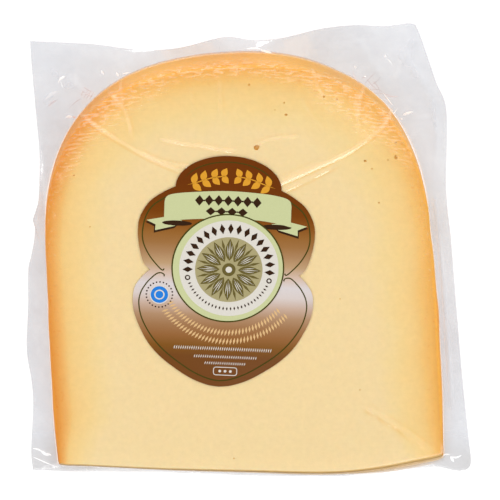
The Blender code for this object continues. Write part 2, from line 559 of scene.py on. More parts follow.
@dataclass
class CheeseWedge:
    """The wedge itself, a film's thickness inside the CAD body, with the eyes that the knife opened."""

    place: WedgePlace
    face: CutFace
    inset: float = 0.14
    edge_radius: float = 1.05
    counts: tuple[int, ...] = (60, 90, 90, 90)
    opening_steps: int = 8
    # Along the wheel's axis and away from it, the slices that the body is cut into, to be made uneven.
    slices: tuple[Pair, Pair] = ((-54.0, 54.0), (12.0, 130.0))
    slice_pitch: float = 3.0
    unevenness: float = 0.09
    uneven_size: float = 8.0
    end_facing: float = -0.8
    sharp: float = 40.0
    # Eyes on the front cut face: along the wheel's axis, away from it, and width.
    eyes: tuple[tuple[float, float, float], ...] = (
        (6.1, 126.1, 0.6), (15.9, 116.8, 0.75), (15.6, 120.3, 0.5), (12.9, 118.4, 0.35), (26.8, 121.3, 0.7),
        (30.4, 120.3, 0.6), (7.1, 107.9, 1.8), (37.3, 102.0, 0.75), (46.0, 102.5, 1.1), (46.2, 106.7, 0.6),
        (43.7, 101.9, 0.5), (39.1, 99.6, 0.45), (40.5, 89.6, 0.55), (-44.5, 103.1, 0.6), (-41.0, 87.9, 0.45),
        (28.0, 62.2, 0.4), (32.1, 35.0, 0.4), (-4.8, 17.0, 0.45),
    )
    back_eyes: int = 16
    back_reach: tuple[Pair, Pair, Pair] = ((-42.0, 42.0), (25.0, 108.0), (0.5, 1.3))
    # An eye's depth under the cut, radius and dents, as shares of its width.
    eye_sink: float = 0.06
    eye_radius: float = 0.56
    eye_dent: float = 0.16
    dent_size: float = 0.5
    seed: int = 11

    @property
    def start(self) -> float:
        """The angle by which the wedge stays clear of the floor, and of the film in front."""
        return self.inset / self.face.rim_start

    def body(self) -> Shape:
        """Turns the cut face about the wheel's axis, rounds its edges and makes it a little uneven.

        Returns:
            The shape, in the wheel's own axes.
        """
        shape = bmesh.new()
        points, _ = self.face.outline(self.counts, self.inset)
        cut = flat_face(shape, points)
        bmesh.ops.rotate(shape, matrix=Matrix.Rotation(self.start, 3, "X"), verts=shape.verts)
        bmesh.ops.spin(
            shape, geom=[cut, *cut.edges, *cut.verts], cent=(0, 0, 0), axis=(1, 0, 0),
            angle=self.place.angle - 2 * self.start, steps=self.opening_steps,
        )
        bmesh.ops.recalc_face_normals(shape, faces=shape.faces)
        rims = dict.fromkeys(edge for side in shape.faces if len(side.verts) > 4 for edge in side.edges)
        bmesh.ops.bevel(
            shape, geom=list(rims), offset=self.edge_radius, affect="EDGES", segments=3, profile=0.5,
            material=-1,
        )
        for normal, reach in zip((Vector((1, 0, 0)), Vector((0, 1, 0))), self.slices):
            for place in np.arange(*reach, self.slice_pitch):
                everything = [*shape.verts, *shape.edges, *shape.faces]
                bmesh.ops.bisect_plane(shape, geom=everything, plane_co=normal * place, plane_no=normal)
        shape.normal_update()
        shifts = [vert.normal * noise.noise(vert.co / self.uneven_size) for vert in shape.verts]
        for vert, shift in zip(shape.verts, shifts):
            vert.co += shift * self.unevenness * min(1.0, vert.co.y / self.face.rim_start)
        # Faces that look towards the thin end take its darker finish, which is painted shade.
        for side in shape.faces:
            side.material_index = 2 if side.normal.y < self.end_facing else 0
        # The thin end leans outwards towards the back.
        places = np.array([vert.co for vert in shape.verts])
        down = 1.0 - np.arctan2(places[:, 2], places[:, 1]) / self.place.angle
        for vert, (_, away) in zip(shape.verts, self.face.leaned(places[:, :2], down)):
            vert.co.y = away
        return shape

    def cutters(self) -> Shape:
        """Makes the eyes as dented balls, first on the front face and then on the back.

        Returns:
            The shape, in the wheel's own axes.
        """
        draw = random.Random(self.seed)
        shape = bmesh.new()
        front = Matrix.Rotation(self.place.angle - self.start, 4, "X")
        back = Matrix.Rotation(self.start, 4, "X")
        places = [(front, *eye, -self.eye_sink) for eye in self.eyes]
        places += [
            (back, *(draw.uniform(*reach) for reach in self.back_reach), self.eye_sink)
            for _ in range(self.back_eyes)
        ]
        for plane, along, away, width, sink in places:
            squash = Matrix.Diagonal((draw.uniform(0.75, 1.1), draw.uniform(0.8, 1.2), 0.75, 1.0))
            turn = Matrix.Rotation(draw.uniform(0, math.pi), 4, "Z")
            centre = Matrix.Translation((along, away, sink * width))
            ball = bmesh.ops.create_icosphere(
                shape, subdivisions=2, radius=width * self.eye_radius, matrix=plane @ centre @ turn @ squash
            )
            for vert in ball["verts"]:
                dent = noise.noise_vector(vert.co / (self.dent_size * width) + Vector((along, away, 0.0)))
                vert.co += self.eye_dent * width * dent
        for side in shape.faces:
            side.material_index = 1
        return shape

    def build(self) -> bpy.types.Object:
        """Builds the wedge.

        Returns:
            The finished piece.
        """
        # The thin end's darker, olive colours are painted shade: it faces down and away from the lights.
        thin_end = EyeWall("gouda thin end painted shade", "#d6b274", "#c29d5c", 2.0)
        finishes = [SmokedGouda(self.place, self.face).material(), EyeWall().material(), thin_end.material()]
        pieces = []
        for name, shape in (("cheese_wedge", self.body()), ("eye_cutters", self.cutters())):
            bmesh.ops.transform(shape, matrix=self.place.matrix(), verts=shape.verts)
            pieces.append(make_piece(name, shape, finishes))
        wedge, holes = pieces
        cut = wedge.modifiers.new("eyes", "BOOLEAN")
        cut.operation = "DIFFERENCE"
        cut.solver = "EXACT"
        cut.object = holes
        bpy.context.view_layer.update()
        graph = bpy.context.evaluated_depsgraph_get()
        wedge.data = bpy.data.meshes.new_from_object(wedge.evaluated_get(graph))
        wedge.modifiers.clear()
        wedge.data.name = "cheese_wedge"
        wedge.data.set_sharp_from_angle(angle=math.radians(self.sharp))
        bpy.data.objects.remove(holes, do_unlink=True)
        return wedge


# ---- Pouch film ----

# What the film's finish reads at each point.
FILM_VALUES = ("cloud", "blush", "wet", "gather", "loose", "cling")


@dataclass(frozen=True)
class Fold:
    """A crease where the film is gathered: it stands up, with a pale crest, partly whitened film and partly a
    painted highlight, and painted shade beside it.
    """

    route: Route
    width: float = 0.5
    height: float = 0.35
    cloud: float = 0.55
    wet: float = 0.5
    wet_side: float = 0.6

    def field(self, points: np.ndarray) -> tuple[np.ndarray, np.ndarray, np.ndarray]:
        """Works out what the fold does at each point.

        Args:
            points: places on the film, in the axes of the fold's route.

        Returns:
            How high the film stands, how pale its crest is, and how much painted shade lies on the cheese
            beside it.
        """
        route = respace(curve_through(self.route, 6), 40, closed_end=True)
        best = np.full(len(points), np.inf)
        side, share = np.zeros(len(points)), np.zeros(len(points))
        for number, (start, end) in enumerate(zip(route, route[1:])):
            along = end - start
            t = np.clip((points - start) @ along / float(along @ along), 0.0, 1.0)
            gap = points - start - t[:, None] * along
            distance = np.linalg.norm(gap, axis=1)
            nearer = distance < best
            best = np.where(nearer, distance, best)
            side = np.where(nearer, np.sign(along[0] * gap[:, 1] - along[1] * gap[:, 0]), side)
            share = np.where(nearer, (number + t) / (len(route) - 1), share)
        # It fades in sooner than it fades out, and swells and shrinks along its run.
        taper = smooth_step(share, 0.0, 0.08) * smooth_step(1.0 - share, 0.0, 0.2)
        swell = 0.8 + 0.2 * np.sin(share * 17.0 + self.route[0][0])
        crest = np.exp(-((best / self.width) ** 2)) * taper * swell
        # Painted shade lies in a band beside the crest, stronger on one side.
        flank = np.exp(-(((best - 1.75 * self.width) / (0.55 * self.width)) ** 2)) * taper
        lean = 0.5 + 0.5 * side * self.wet_side
        return self.height * crest, self.cloud * crest, self.wet * flank * lean


@dataclass(frozen=True)
class LaminatedFilm:
    """Nylon and polyethylene laminate, cast clear and heat shrunk: glossy, with white stress and painted
    highlights in its folds.
    """

    tint: str = "#f9f9fa"
    haze_colour: str = "#c9ccd2"
    wrinkle_colour: str = "#ffe8c4"
    wet_colour: str = "#f2d8a4"
    haze: Pair = (0.26, 0.34)
    haze_size: float = 10.0
    wrinkle_pitch: float = 0.56
    wrinkle_length: float = 2.6
    wrinkle_sag: float = 0.0018
    wrinkle_drop: float = 0.1
    wrinkle_crests: Pair = (0.48, 0.61)
    wrinkle_cloud: float = 0.31
    wrinkle_floor: float = 0.08
    pocket_size: float = 0.8
    pocket_cloud: float = 0.17
    pocket_places: Pair = (-35.0, 5.0)
    gloss: float = 0.08
    cling_gloss: float = 0.3
    mirror: float = 0.045
    cling_mirror: float = 0.012
    loose_gain: float = 0.15

    def wrinkles(self, nodes: Nodes) -> bpy.types.Node:
        """Adds nodes for shrink wrinkles: short wavy lines side by side, which droop towards both sides.

        Args:
            nodes: the material's nodes.

        Returns:
            The node whose value is 1 on a wrinkle's crest, and lowest between two.
        """
        add = nodes.add
        sized = add("VectorMath.SCALE", {0: nodes.place, "Scale": 1 / MM})
        x, y, z = add("SeparateXYZ", [sized]).outputs
        arched = add("Math.MULTIPLY_ADD", [add("Math.MULTIPLY", [x, x]), self.wrinkle_sag, y])
        lowered = add("Math.MULTIPLY_ADD", [z, -self.wrinkle_drop, arched])
        stretched = add("Mapping", {
            "Vector": add("CombineXYZ", {"X": x, "Y": lowered}),
            "Scale": (1 / self.wrinkle_length, 1 / self.wrinkle_pitch, 1.0),
        })
        lines = add("TexNoise", {
            "Vector": stretched, "Scale": 1.0, "Detail": 1.0, "Roughness": 0.5, "Distortion": 0.25
        })
        reach = (*self.wrinkle_crests, self.wrinkle_floor)
        return add("MapRange", [lines, *reach], interpolation_type="SMOOTHSTEP")

    def material(self) -> Material:
        """Makes the film.

        Returns:
            The material.
        """
        nodes = Nodes(bpy.data.materials.new("laminated vacuum film"))
        add, place = nodes.add, nodes.place
        cloud, blush, wet, gather, loose, cling = (
            add("Attribute", attribute_name=name).outputs["Fac"] for name in FILM_VALUES
        )
        # Painted sheen: the crests of the shrink wrinkles are veiled pale in place of their soft reflections.
        gathered = add("Math.MULTIPLY", [self.wrinkles(nodes), gather])
        lined = add("Math.MULTIPLY_ADD", [gathered, self.wrinkle_cloud, cloud])
        # Small pockets of air show as pale specks where it clings to the rind, but not near the thin end.
        pockets = add("TexNoise", {
            "Vector": place, "Scale": 1 / (self.pocket_size * MM), "Detail": 2.0, "Roughness": 0.6
        })
        pale = add("MapRange", [pockets, 0.56, 0.7, 0.0, self.pocket_cloud])
        start, end = self.pocket_places
        near = add("MapRange", [add("SeparateXYZ", [place]).outputs["Y"], start * MM, end * MM])
        lined = add("Math.MULTIPLY_ADD", [pale, add("Math.MULTIPLY", [cling, near]), lined])
        # Where nothing lies under it the film wavers slowly, and two layers of it look a little milky.
        soft = add("TexNoise", {
            "Vector": place, "Scale": 1 / (self.haze_size * MM), "Detail": 3.0, "Roughness": 0.5
        })
        haze = add("MapRange", [soft, 0.35, 0.65, *self.haze])
        clouded = add("Math.MULTIPLY_ADD", [haze, loose, lined], use_clamp=True)
        relief = add("Math.MULTIPLY_ADD", [add("Math.MULTIPLY", [soft, loose]), 10.0, gathered])
        bump = add("Bump", {"Height": relief, "Strength": 0.8, "Distance": 0.06 * MM})
        # Beside the folds, the clear film's tint turns darker and yellower, which paints shade on the cheese.
        tint, veil = (
            add("Mix", {"Factor": share, "A": linear(none), "B": linear(full)}, data_type="RGBA")
            for share, none, full in (
                (wet, self.tint, self.wet_colour), (blush, self.haze_colour, self.wrinkle_colour)
            )
        )
        # The veil is partly the film's own haze and partly painted highlights on its folds and creases.
        body = add("MixShader", [
            clouded, add("BsdfTransparent", {"Color": tint}), add("BsdfDiffuse", {"Color": veil})
        ])
        # Both sides of a film mirror alike, so its mirror follows the angle alone. Where it clings to the
        # moist rind it hardly mirrors at all, and the little that it does is blurred.
        facing = add("LayerWeight", {"Blend": 0.5, "Normal": bump}).outputs["Facing"]
        gain = add("Math.MULTIPLY", [loose, self.loose_gain])
        base, roughness = (
            add("MapRange", [cling, 0.0, 1.0, free, clung])
            for free, clung in ((self.mirror, self.cling_mirror), (self.gloss, self.cling_gloss))
        )
        mirror = add("Math.MULTIPLY_ADD", [add("Math.POWER", [facing, 5.0]), gain, base], use_clamp=True)
        shine = add("BsdfAnisotropic", {
            "Color": (1.0, 1.0, 1.0, 1.0), "Roughness": roughness, "Normal": bump
        })
        return nodes.surface(add("MixShader", [mirror, body, shine]))


@dataclass(frozen=True)
class WrinkleZone:
    """A soft-edged zone of the film, as seen from above, where it is gathered in fine wrinkles."""

    middle: Pair
    half_length: float
    half_breadth: float
    lean: float
    strength: float

    def share(self, plan: np.ndarray) -> np.ndarray:
        """How gathered the film is at points of the plan."""
        along, across = turned_back(plan - self.middle, math.radians(self.lean)).T
        reach = np.hypot(along / self.half_length, across / self.half_breadth)
        return self.strength * np.exp(-(reach**3))


@dataclass
class FilmRing:
    """One ring of the film's mesh: its points in the row frame, and what the finish reads there."""

    points: np.ndarray
    values: dict[str, np.ndarray]


@dataclass
class PouchFilm:
    """The film: a flange sealed round the outside, and a skin drawn tight over both of the wedge's sides."""

    place: WedgePlace
    face: CutFace
    finish: Material
    bottom_edge: Route = (
        (-61.5, -62.4), (-50.0, -62.8), (-39.7, -62.8), (-27.0, -62.9), (-20.0, -63.2), (-11.0, -63.5),
        (-2.0, -63.9), (5.0, -64.1), (15.0, -64.2), (27.0, -64.2), (31.0, -63.5), (34.5, -63.3),
        (39.0, -63.0), (42.0, -62.6), (46.0, -62.1), (50.0, -61.8), (53.7, -61.5), (57.0, -62.2),
        (59.3, -62.7),
    )
    right_edge: Route = (
        (61.7, -62.4), (63.15, -60.2), (62.2, -51.0), (60.4, -33.9), (58.9, -16.8), (57.2, 3.0), (55.8, 17.2),
        (55.8, 39.2), (52.7, 47.9), (48.7, 59.7),
    )
    top_edge: Route = (
        (47.0, 63.7), (44.9, 64.2), (38.3, 63.4), (29.5, 63.6), (20.0, 62.5), (8.7, 59.9), (0.0, 59.6),
        (-7.0, 60.3), (-18.2, 57.5), (-25.5, 56.7), (-34.0, 57.0), (-44.5, 58.3),
    )
    left_edge: Route = (
        (-61.7, 59.1), (-61.3, 52.0), (-60.0, 36.4), (-59.3, 28.0), (-59.3, 20.4), (-59.6, 14.3),
        (-60.3, 11.5), (-61.2, 8.6), (-60.6, 6.7), (-60.9, 2.7), (-61.8, -1.8), (-62.6, -5.5), (-62.7, -16.0),
        (-63.1, -28.2), (-61.8, -37.0), (-61.4, -44.0), (-62.0, -56.7),
    )
    counts: tuple[int, ...] = (70, 168, 194, 168)
    flange_rows: int = 20
    web_rows: int = 4
    side_rows: int = 5
    edge_rows: int = 4
    edge_radius: float = 1.2
    # Sizes of the rings on the front cut face, close together where the folds are, and of those on the back.
    fine_rows: int = 74
    fine_until: float = 0.44
    coarse_rows: tuple[float, float, int] = (0.38, 0.04, 6)
    back_scales: tuple[float, ...] = (1.0, 0.985, 0.96, 0.92, 0.86, 0.78, 0.66, 0.5, 0.3, 0.1)
    gap: float = 0.09
    ripple_share: float = 0.06
    ripple_count: int = 11
    # How high the skin stands off the wedge past the right shoulder, from where, and how far that reaches.
    bridge: tuple[float, float, float] = (0.2, 6.0, 26.0)
    # Folds on the front face, along the wheel's axis and away from it.
    front_folds: tuple[Fold, ...] = (
        Fold(((-48.5, 125.6), (-44.8, 123.2), (-41.3, 121.0), (-38.8, 118.5), (-36.3, 116.2), (-31.7, 112.8),
             (-26.9, 109.4), (-22.3, 106.5), (-17.4, 103.9), (-14.7, 102.7), (-10.0, 100.9)), width=0.5,
             height=0.3, cloud=0.36, wet=0.45, wet_side=-0.8),
        Fold(((-25.5, 109.0), (-21.5, 106.6), (-18.8, 105.5), (-16.0, 104.6), (-10.0, 103.4)), width=0.4,
             height=0.2, cloud=0.22, wet=0.3, wet_side=0.6),
        Fold(((-37.4, 132.4), (-34.4, 128.7), (-29.5, 121.8), (-28.5, 118.8), (-27.9, 115.9), (-27.8, 111.4)),
             width=0.5, height=0.2, cloud=0.24, wet=0.25, wet_side=0.4),
        Fold(((-29.9, 131.0), (-29.8, 127.6), (-29.7, 124.5), (-29.3, 121.6)), width=0.45, height=0.2,
             cloud=0.22, wet=0.2),
        Fold(((-20.5, 112.3), (-14.2, 110.6), (-7.3, 109.2), (-2.3, 107.9), (2.7, 107.2)), width=0.45,
             height=0.3, cloud=0.42, wet=0.25, wet_side=-0.5),
        Fold(((6.6, 108.1), (9.4, 109.6), (12.0, 110.2), (17.5, 110.4), (20.5, 110.6)), width=0.5,
             height=0.12, cloud=0.22, wet=0.15),
        Fold(((49.5, 121.5), (45.6, 116.2), (44.1, 113.5), (42.5, 111.6), (40.8, 110.1), (39.0, 108.8),
             (36.1, 107.0), (33.1, 105.2), (27.2, 102.5), (21.2, 100.2), (14.5, 97.6), (8.0, 95.0)),
             width=0.5, height=0.3, cloud=0.38, wet=0.45, wet_side=0.8),
        Fold(((8.0, 96.2), (15.0, 98.6), (20.7, 100.9), (28.0, 103.6)), width=0.7, height=0.12, cloud=0.12,
             wet=0.1),
        Fold(((8.0, 92.8), (15.8, 95.7), (20.6, 97.6), (26.0, 100.0), (31.0, 102.6)), width=0.6, height=0.16,
             cloud=0.12, wet=0.3, wet_side=-0.7),
        Fold(((40.8, 129.0), (39.2, 125.4), (36.8, 120.2), (36.0, 115.5), (35.6, 110.0)), width=0.55,
             height=0.2, cloud=0.24, wet=0.25),
        Fold(((23.9, 130.2), (25.2, 125.0), (26.6, 121.0)), width=0.4, height=0.3, cloud=0.24, wet=0.2),
        Fold(((-2.1, 128.6), (-2.2, 124.0), (-2.4, 117.0)), width=0.6, height=0.12, cloud=0.09, wet=0.1),
        Fold(((-10.4, 127.0), (-10.1, 122.0), (-9.9, 117.0)), width=0.5, height=0.08, cloud=0.05, wet=0.05),
        Fold(((20.2, 121.6), (23.2, 116.0), (27.5, 110.6)), width=0.6, height=0.1, cloud=0.07, wet=0.1),
        Fold(((33.0, 30.4), (38.5, 26.4), (44.8, 21.6), (53.0, 14.2)), width=0.7, height=0.3, cloud=0.15,
             wet=0.4, wet_side=-0.5),
    )
    # Folds in the flange, in plan.
    flange_folds: tuple[Fold, ...] = (
        Fold(((-58.5, 52.0), (-54.5, 49.0), (-50.0, 47.5), (-44.0, 41.0)), width=1.6, height=0.4, cloud=0.04,
             wet=0.0),
        Fold(((-59.0, 41.5), (-55.0, 44.5), (-51.0, 46.0), (-46.0, 43.0)), width=1.3, height=0.35, cloud=0.06,
             wet=0.0),
        Fold(((40.5, 57.5), (46.6, 50.8), (51.4, 42.4), (52.6, 33.9), (52.0, 22.0)), width=1.2, height=0.4,
             cloud=0.05, wet=0.0),
        Fold(((30.0, 60.0), (33.0, 55.0), (37.0, 49.0), (40.0, 44.0)), width=1.3, height=0.3, cloud=0.04,
             wet=0.0),
        Fold(((46.0, 60.5), (43.5, 52.0), (41.0, 44.0)), width=1.5, height=0.4, cloud=0.04, wet=0.0),
        Fold(((52.2, 17.2), (53.5, 5.9), (54.4, -2.6), (55.2, -11.1), (56.1, -22.5), (56.9, -33.8),
             (57.5, -42.3), (58.2, -52.0)), width=0.6, height=0.3, cloud=0.14, wet=0.0),
    )
    # Zones of fine wrinkles round the shoulders, in plan.
    zones: tuple[WrinkleZone, ...] = (
        WrinkleZone((-42.3, 38.3), 9.0, 6.0, 42.0, 1.0),
        WrinkleZone((-30.4, 46.2), 11.0, 5.0, 22.0, 0.9),
        WrinkleZone((-4.0, 52.6), 16.0, 1.6, 1.0, 0.8),
        WrinkleZone((-50.0, 26.5), 9.0, 3.4, 66.0, 0.6),
        WrinkleZone((-11.0, 50.6), 15.0, 2.2, 3.0, 0.95),
        WrinkleZone((12.0, 49.6), 13.0, 3.0, -6.0, 0.85),
        WrinkleZone((26.5, 43.6), 9.0, 5.5, -26.0, 1.0),
        WrinkleZone((36.0, 36.6), 7.0, 6.0, -42.0, 1.0),
        WrinkleZone((43.0, 28.5), 6.0, 3.0, -65.0, 0.6),
    )
    wall_wrinkles: float = 0.7
    milky_end: Pair = (49.0, 60.0)
    end_haze: float = 1.2
    end_blush: float = 0.12
    web_cloud: float = 0.17
    corner_cloud: float = 0.4
    cling_reach: float = 3.0
    outline: np.ndarray = field(init=False)
    normals: np.ndarray = field(init=False)
    off: np.ndarray = field(init=False)
    bag: np.ndarray = field(init=False)
    web: np.ndarray = field(init=False)
    foot: np.ndarray = field(init=False)
    slack: np.ndarray = field(init=False)

    def __post_init__(self) -> None:
        """Traces the outlines that every ring starts from."""
        self.outline, self.normals = self.face.outline(self.counts)
        run = distances(self.outline)
        height, before, reach = self.bridge
        self.off = height * np.exp(-(((run - run[sum(self.counts[:2])] + before) / reach) ** 4))
        edges = [self.bottom_edge, self.right_edge, self.top_edge, self.left_edge]
        self.bag = np.vstack([
            respace(curve_through([*edge, following[0]], 8), count)
            for edge, following, count in zip(edges, edges[1:] + edges[:1], self.counts)
        ])
        self.web = np.clip(0.1 * (self.outline[:, 1] * math.tan(self.place.angle / 2)), 0.15, 0.3)
        foot = self.outline + self.normals * (self.web + self.off)[:, None]
        self.foot = self.place.to_row(self.face.leaned(foot, 0.5), self.place.angle / 2)[:, :2]
        nearest = np.linalg.norm(self.foot[:, None] - self.bag, axis=2).min(axis=1)
        self.slack = smooth_step(nearest, 0.4, 2.6)

    @property
    def columns(self) -> int:
        """How many points each ring has."""
        return sum(self.counts)

    def values(self, **given: np.ndarray | float) -> dict[str, np.ndarray]:
        """What the finish reads at a ring, 0 wherever nothing is given."""
        return {name: np.zeros(self.columns) + given.get(name, 0.0) for name in FILM_VALUES}

    def folded(self, folds: Sequence[Fold], points: np.ndarray) -> np.ndarray:
        """What all the folds do together at each point: height, pale veil and painted shade."""
        return sum((np.array(fold.field(points)) for fold in folds), np.zeros((3, self.columns)))

    def gathered(self, points: np.ndarray) -> np.ndarray:
        """How gathered the front film is at each point."""
        return np.clip(np.sum([zone.share(points[:, :2]) for zone in self.zones], axis=0), 0.0, 1.0)

    def flange_ring(self, share: float, side: float) -> FilmRing:
        """Makes a ring of the flange.

        Args:
            share: 0 at the pouch's outline, 1 where the film meets the wedge.
            side: 1 for the front film, -1 for the back one.

        Returns:
            The ring.
        """
        plan = self.bag + (self.foot - self.bag) * share
        level = self.place.from_row(plan)[:, 1] * math.tan(self.place.angle / 2)
        wave = np.sin(self.ripple_count * np.arctan2(plan[:, 1], plan[:, 0]))
        apart, free = smooth_step(np.array([share, 1.0 - share]), 0.0, 0.12)
        height, cloud, _ = self.folded(self.flange_folds, plan)
        ripple = level * self.ripple_share * wave * (1.0 - share) ** 1.5
        points = np.column_stack((plan, level + ripple + height * free + side * self.gap * apart))
        low = smooth_step(-plan[:, 1], *self.milky_end)
        loose = self.slack * (1.0 + self.end_haze * low)
        values = self.values(cloud=cloud * (side > 0), blush=self.end_blush * low, loose=loose)
        return FilmRing(points, values)

    def wall_ring(self, section: np.ndarray, opening: np.ndarray, rise: float = 0.0, loose: float = 0.0,
                  turn: float = 0.0) -> FilmRing:
        """Makes a ring of the skin on the wedge's side.

        Args:
            section: its points in the section.
            opening: the angle of each point's plane.
            rise: height above that plane.
            loose: how far the film still is from clinging there.
            turn: how far the skin has turned over towards the cut face, in radians.

        Returns:
            The ring.
        """
        down = np.clip(1.0 - opening / self.place.angle, 0.0, 1.0)
        points = self.place.to_row(self.face.leaned(section, down), opening, rise)
        forward = 2.0 * opening / self.place.angle - 1.0
        cloud, wet = np.zeros((2, self.columns))
        gather = self.wall_wrinkles * smooth_step(-forward, 0.0, 0.5) * smooth_step(section[:, 1], 60.0, 90.0)
        if np.all(forward > 0.0):
            seen = self.place.from_row(points[:, :2]) / (1.0, math.cos(self.place.angle))
            height, cloud, wet = self.folded(self.front_folds, seen)
            section = section + self.normals * (height * math.cos(turn))[:, None]
            rise = rise + height * math.sin(turn)
            points = self.place.to_row(self.face.leaned(section, down), opening, rise)
            gather = self.gathered(points) * smooth_step(forward, 0.3, 1.0)
        corner = smooth_step(section[:, 0], 24.0, 44.0) * smooth_step(-section[:, 1], -19.0, -14.0)
        cloud = np.maximum(cloud, np.maximum(self.corner_cloud * corner, self.web_cloud * loose))
        return FilmRing(points, self.values(
            cloud=cloud, blush=1.0, wet=wet, gather=gather, loose=self.slack * loose * 0.5, cling=1.0
        ))

    def skin_rings(self, side: float) -> list[FilmRing]:
        """Makes the rings from the flange up the wedge's side and round its edge.

        Args:
            side: 1 for the front film, -1 for the back one.

        Returns:
            The rings, outermost first.
        """
        away = self.outline[:, 1]
        middle, limit = self.place.angle / 2, self.place.angle / 2 * (1 + side)
        clear = self.outline + self.normals * self.off[:, None]
        rings = []
        for turn in math.pi / 2 * np.arange(1, self.web_rows + 1) / self.web_rows:
            out = (self.web * (1.0 - math.sin(turn)))[:, None] * self.normals
            up = (self.gap + self.web * (1.0 - math.cos(turn))) / away
            rings.append(self.wall_ring(clear + out, middle + side * up, loose=math.cos(turn)))
        start = middle + side * (self.gap + self.web) / away
        end = limit - side * self.edge_radius / away
        for row in range(1, self.side_rows + 1):
            share = row / (self.side_rows + 1)
            rings.append(self.wall_ring(clear, start + (end - start) * share))
        for turn in math.pi / 2 * np.arange(self.edge_rows) / self.edge_rows:
            section = clear - self.normals * (self.edge_radius * (1.0 - math.cos(turn)))
            rise = -side * self.edge_radius * (1.0 - math.sin(turn))
            rings.append(self.wall_ring(section, np.full(self.columns, limit), rise, turn=turn))
        return rings

    def face_ring(self, scale: float, side: float) -> FilmRing:
        """Makes a ring of the skin on a cut face.

        Args:
            scale: its size, as a share of the outermost one's.
            side: 1 for the front film, -1 for the back one.

        Returns:
            The ring.
        """
        outer = self.outline + self.normals * (self.off[:, None] - self.edge_radius)
        section = self.face.middle + (outer - self.face.middle) * scale
        depth = np.sum((outer - section) * self.normals, axis=1)
        rise, cloud, wet = self.folded(self.front_folds if side > 0 else (), section)
        opening = self.place.angle / 2 * (1 + side)
        points = self.place.to_row(self.face.leaned(section, (1 - side) / 2), opening, side * rise)
        gather = self.gathered(points)
        cling = np.maximum(np.exp(-((depth / self.cling_reach) ** 2)), gather)
        return FilmRing(points, self.values(cloud=cloud, blush=1.0, wet=wet, gather=gather, cling=cling))

    def rings(self, side: float) -> list[FilmRing]:
        """Makes all rings of one film.

        Args:
            side: 1 for the front film, -1 for the back one.

        Returns:
            The rings, from just inside the pouch's outline to the middle of the cut face.
        """
        flange = [self.flange_ring(row / self.flange_rows, side) for row in range(1, self.flange_rows + 1)]
        fine = np.linspace(1.0, self.fine_until, self.fine_rows)
        scales = [*fine, *np.linspace(*self.coarse_rows)] if side > 0 else self.back_scales
        return flange + self.skin_rings(side) + [self.face_ring(scale, side) for scale in scales]

    def grow(self, shape: Shape, loop: list, rings: list[FilmRing]) -> None:
        """Extrudes a loop through a list of rings and closes it with a pole.

        Args:
            shape: the film so far.
            loop: the edges to start from.
            rings: where each new ring goes.
        """
        for ring in rings:
            made = bmesh.ops.extrude_edge_only(shape, edges=loop)["geom"]
            verts = verts_of(made)
            known = set(verts)
            edges = [item for item in made if isinstance(item, bmesh.types.BMEdge)]
            loop = [edge for edge in edges if known.issuperset(edge.verts)]
            self.place_ring(shape, verts, ring)
        bmesh.ops.pointmerge(shape, verts=verts, merge_co=rings[-1].points.mean(axis=0))

    def place_ring(self, shape: Shape, verts: Sequence, ring: FilmRing) -> None:
        """Moves points to their places in a ring, by their columns, and gives them its values.

        Args:
            shape: the film so far.
            verts: the points.
            ring: the ring.
        """
        column = shape.verts.layers.int["column"]
        layers = [(shape.verts.layers.float[name], values) for name, values in ring.values.items()]
        for vert in verts:
            vert.co = ring.points[vert[column]]
            for layer, values in layers:
                vert[layer] = values[vert[column]]

    def build(self) -> bpy.types.Object:
        """Builds the film as one closed envelope.

        Returns:
            The finished piece.
        """
        shape = bmesh.new()
        shape.verts.layers.int.new("column")
        for name in FILM_VALUES:
            shape.verts.layers.float.new(name)
        column = shape.verts.layers.int["column"]
        verts = bmesh.ops.create_circle(shape, segments=self.columns, radius=1.0)["verts"]
        for number, vert in enumerate(verts):
            vert[column] = number
        self.place_ring(shape, verts, self.flange_ring(0.0, 0.0))
        loop = list(shape.edges)
        for side in (1.0, -1.0):
            self.grow(shape, loop, self.rings(side))
        bmesh.ops.recalc_face_normals(shape, faces=shape.faces)
        film = make_piece("pouch_film", shape, [self.finish], sharp=75.0)
        # A thin clear film passes on the light that it scatters, so nothing under it lies in its shade.
        film.visible_shadow = False
        return film


@dataclass(frozen=True)
class Gather:
    """A fine gathered line in the film, by its route as seen from above."""

    route: Route
    width: float = 0.35
    cloud: float = 0.5
    blush: float = 0.0


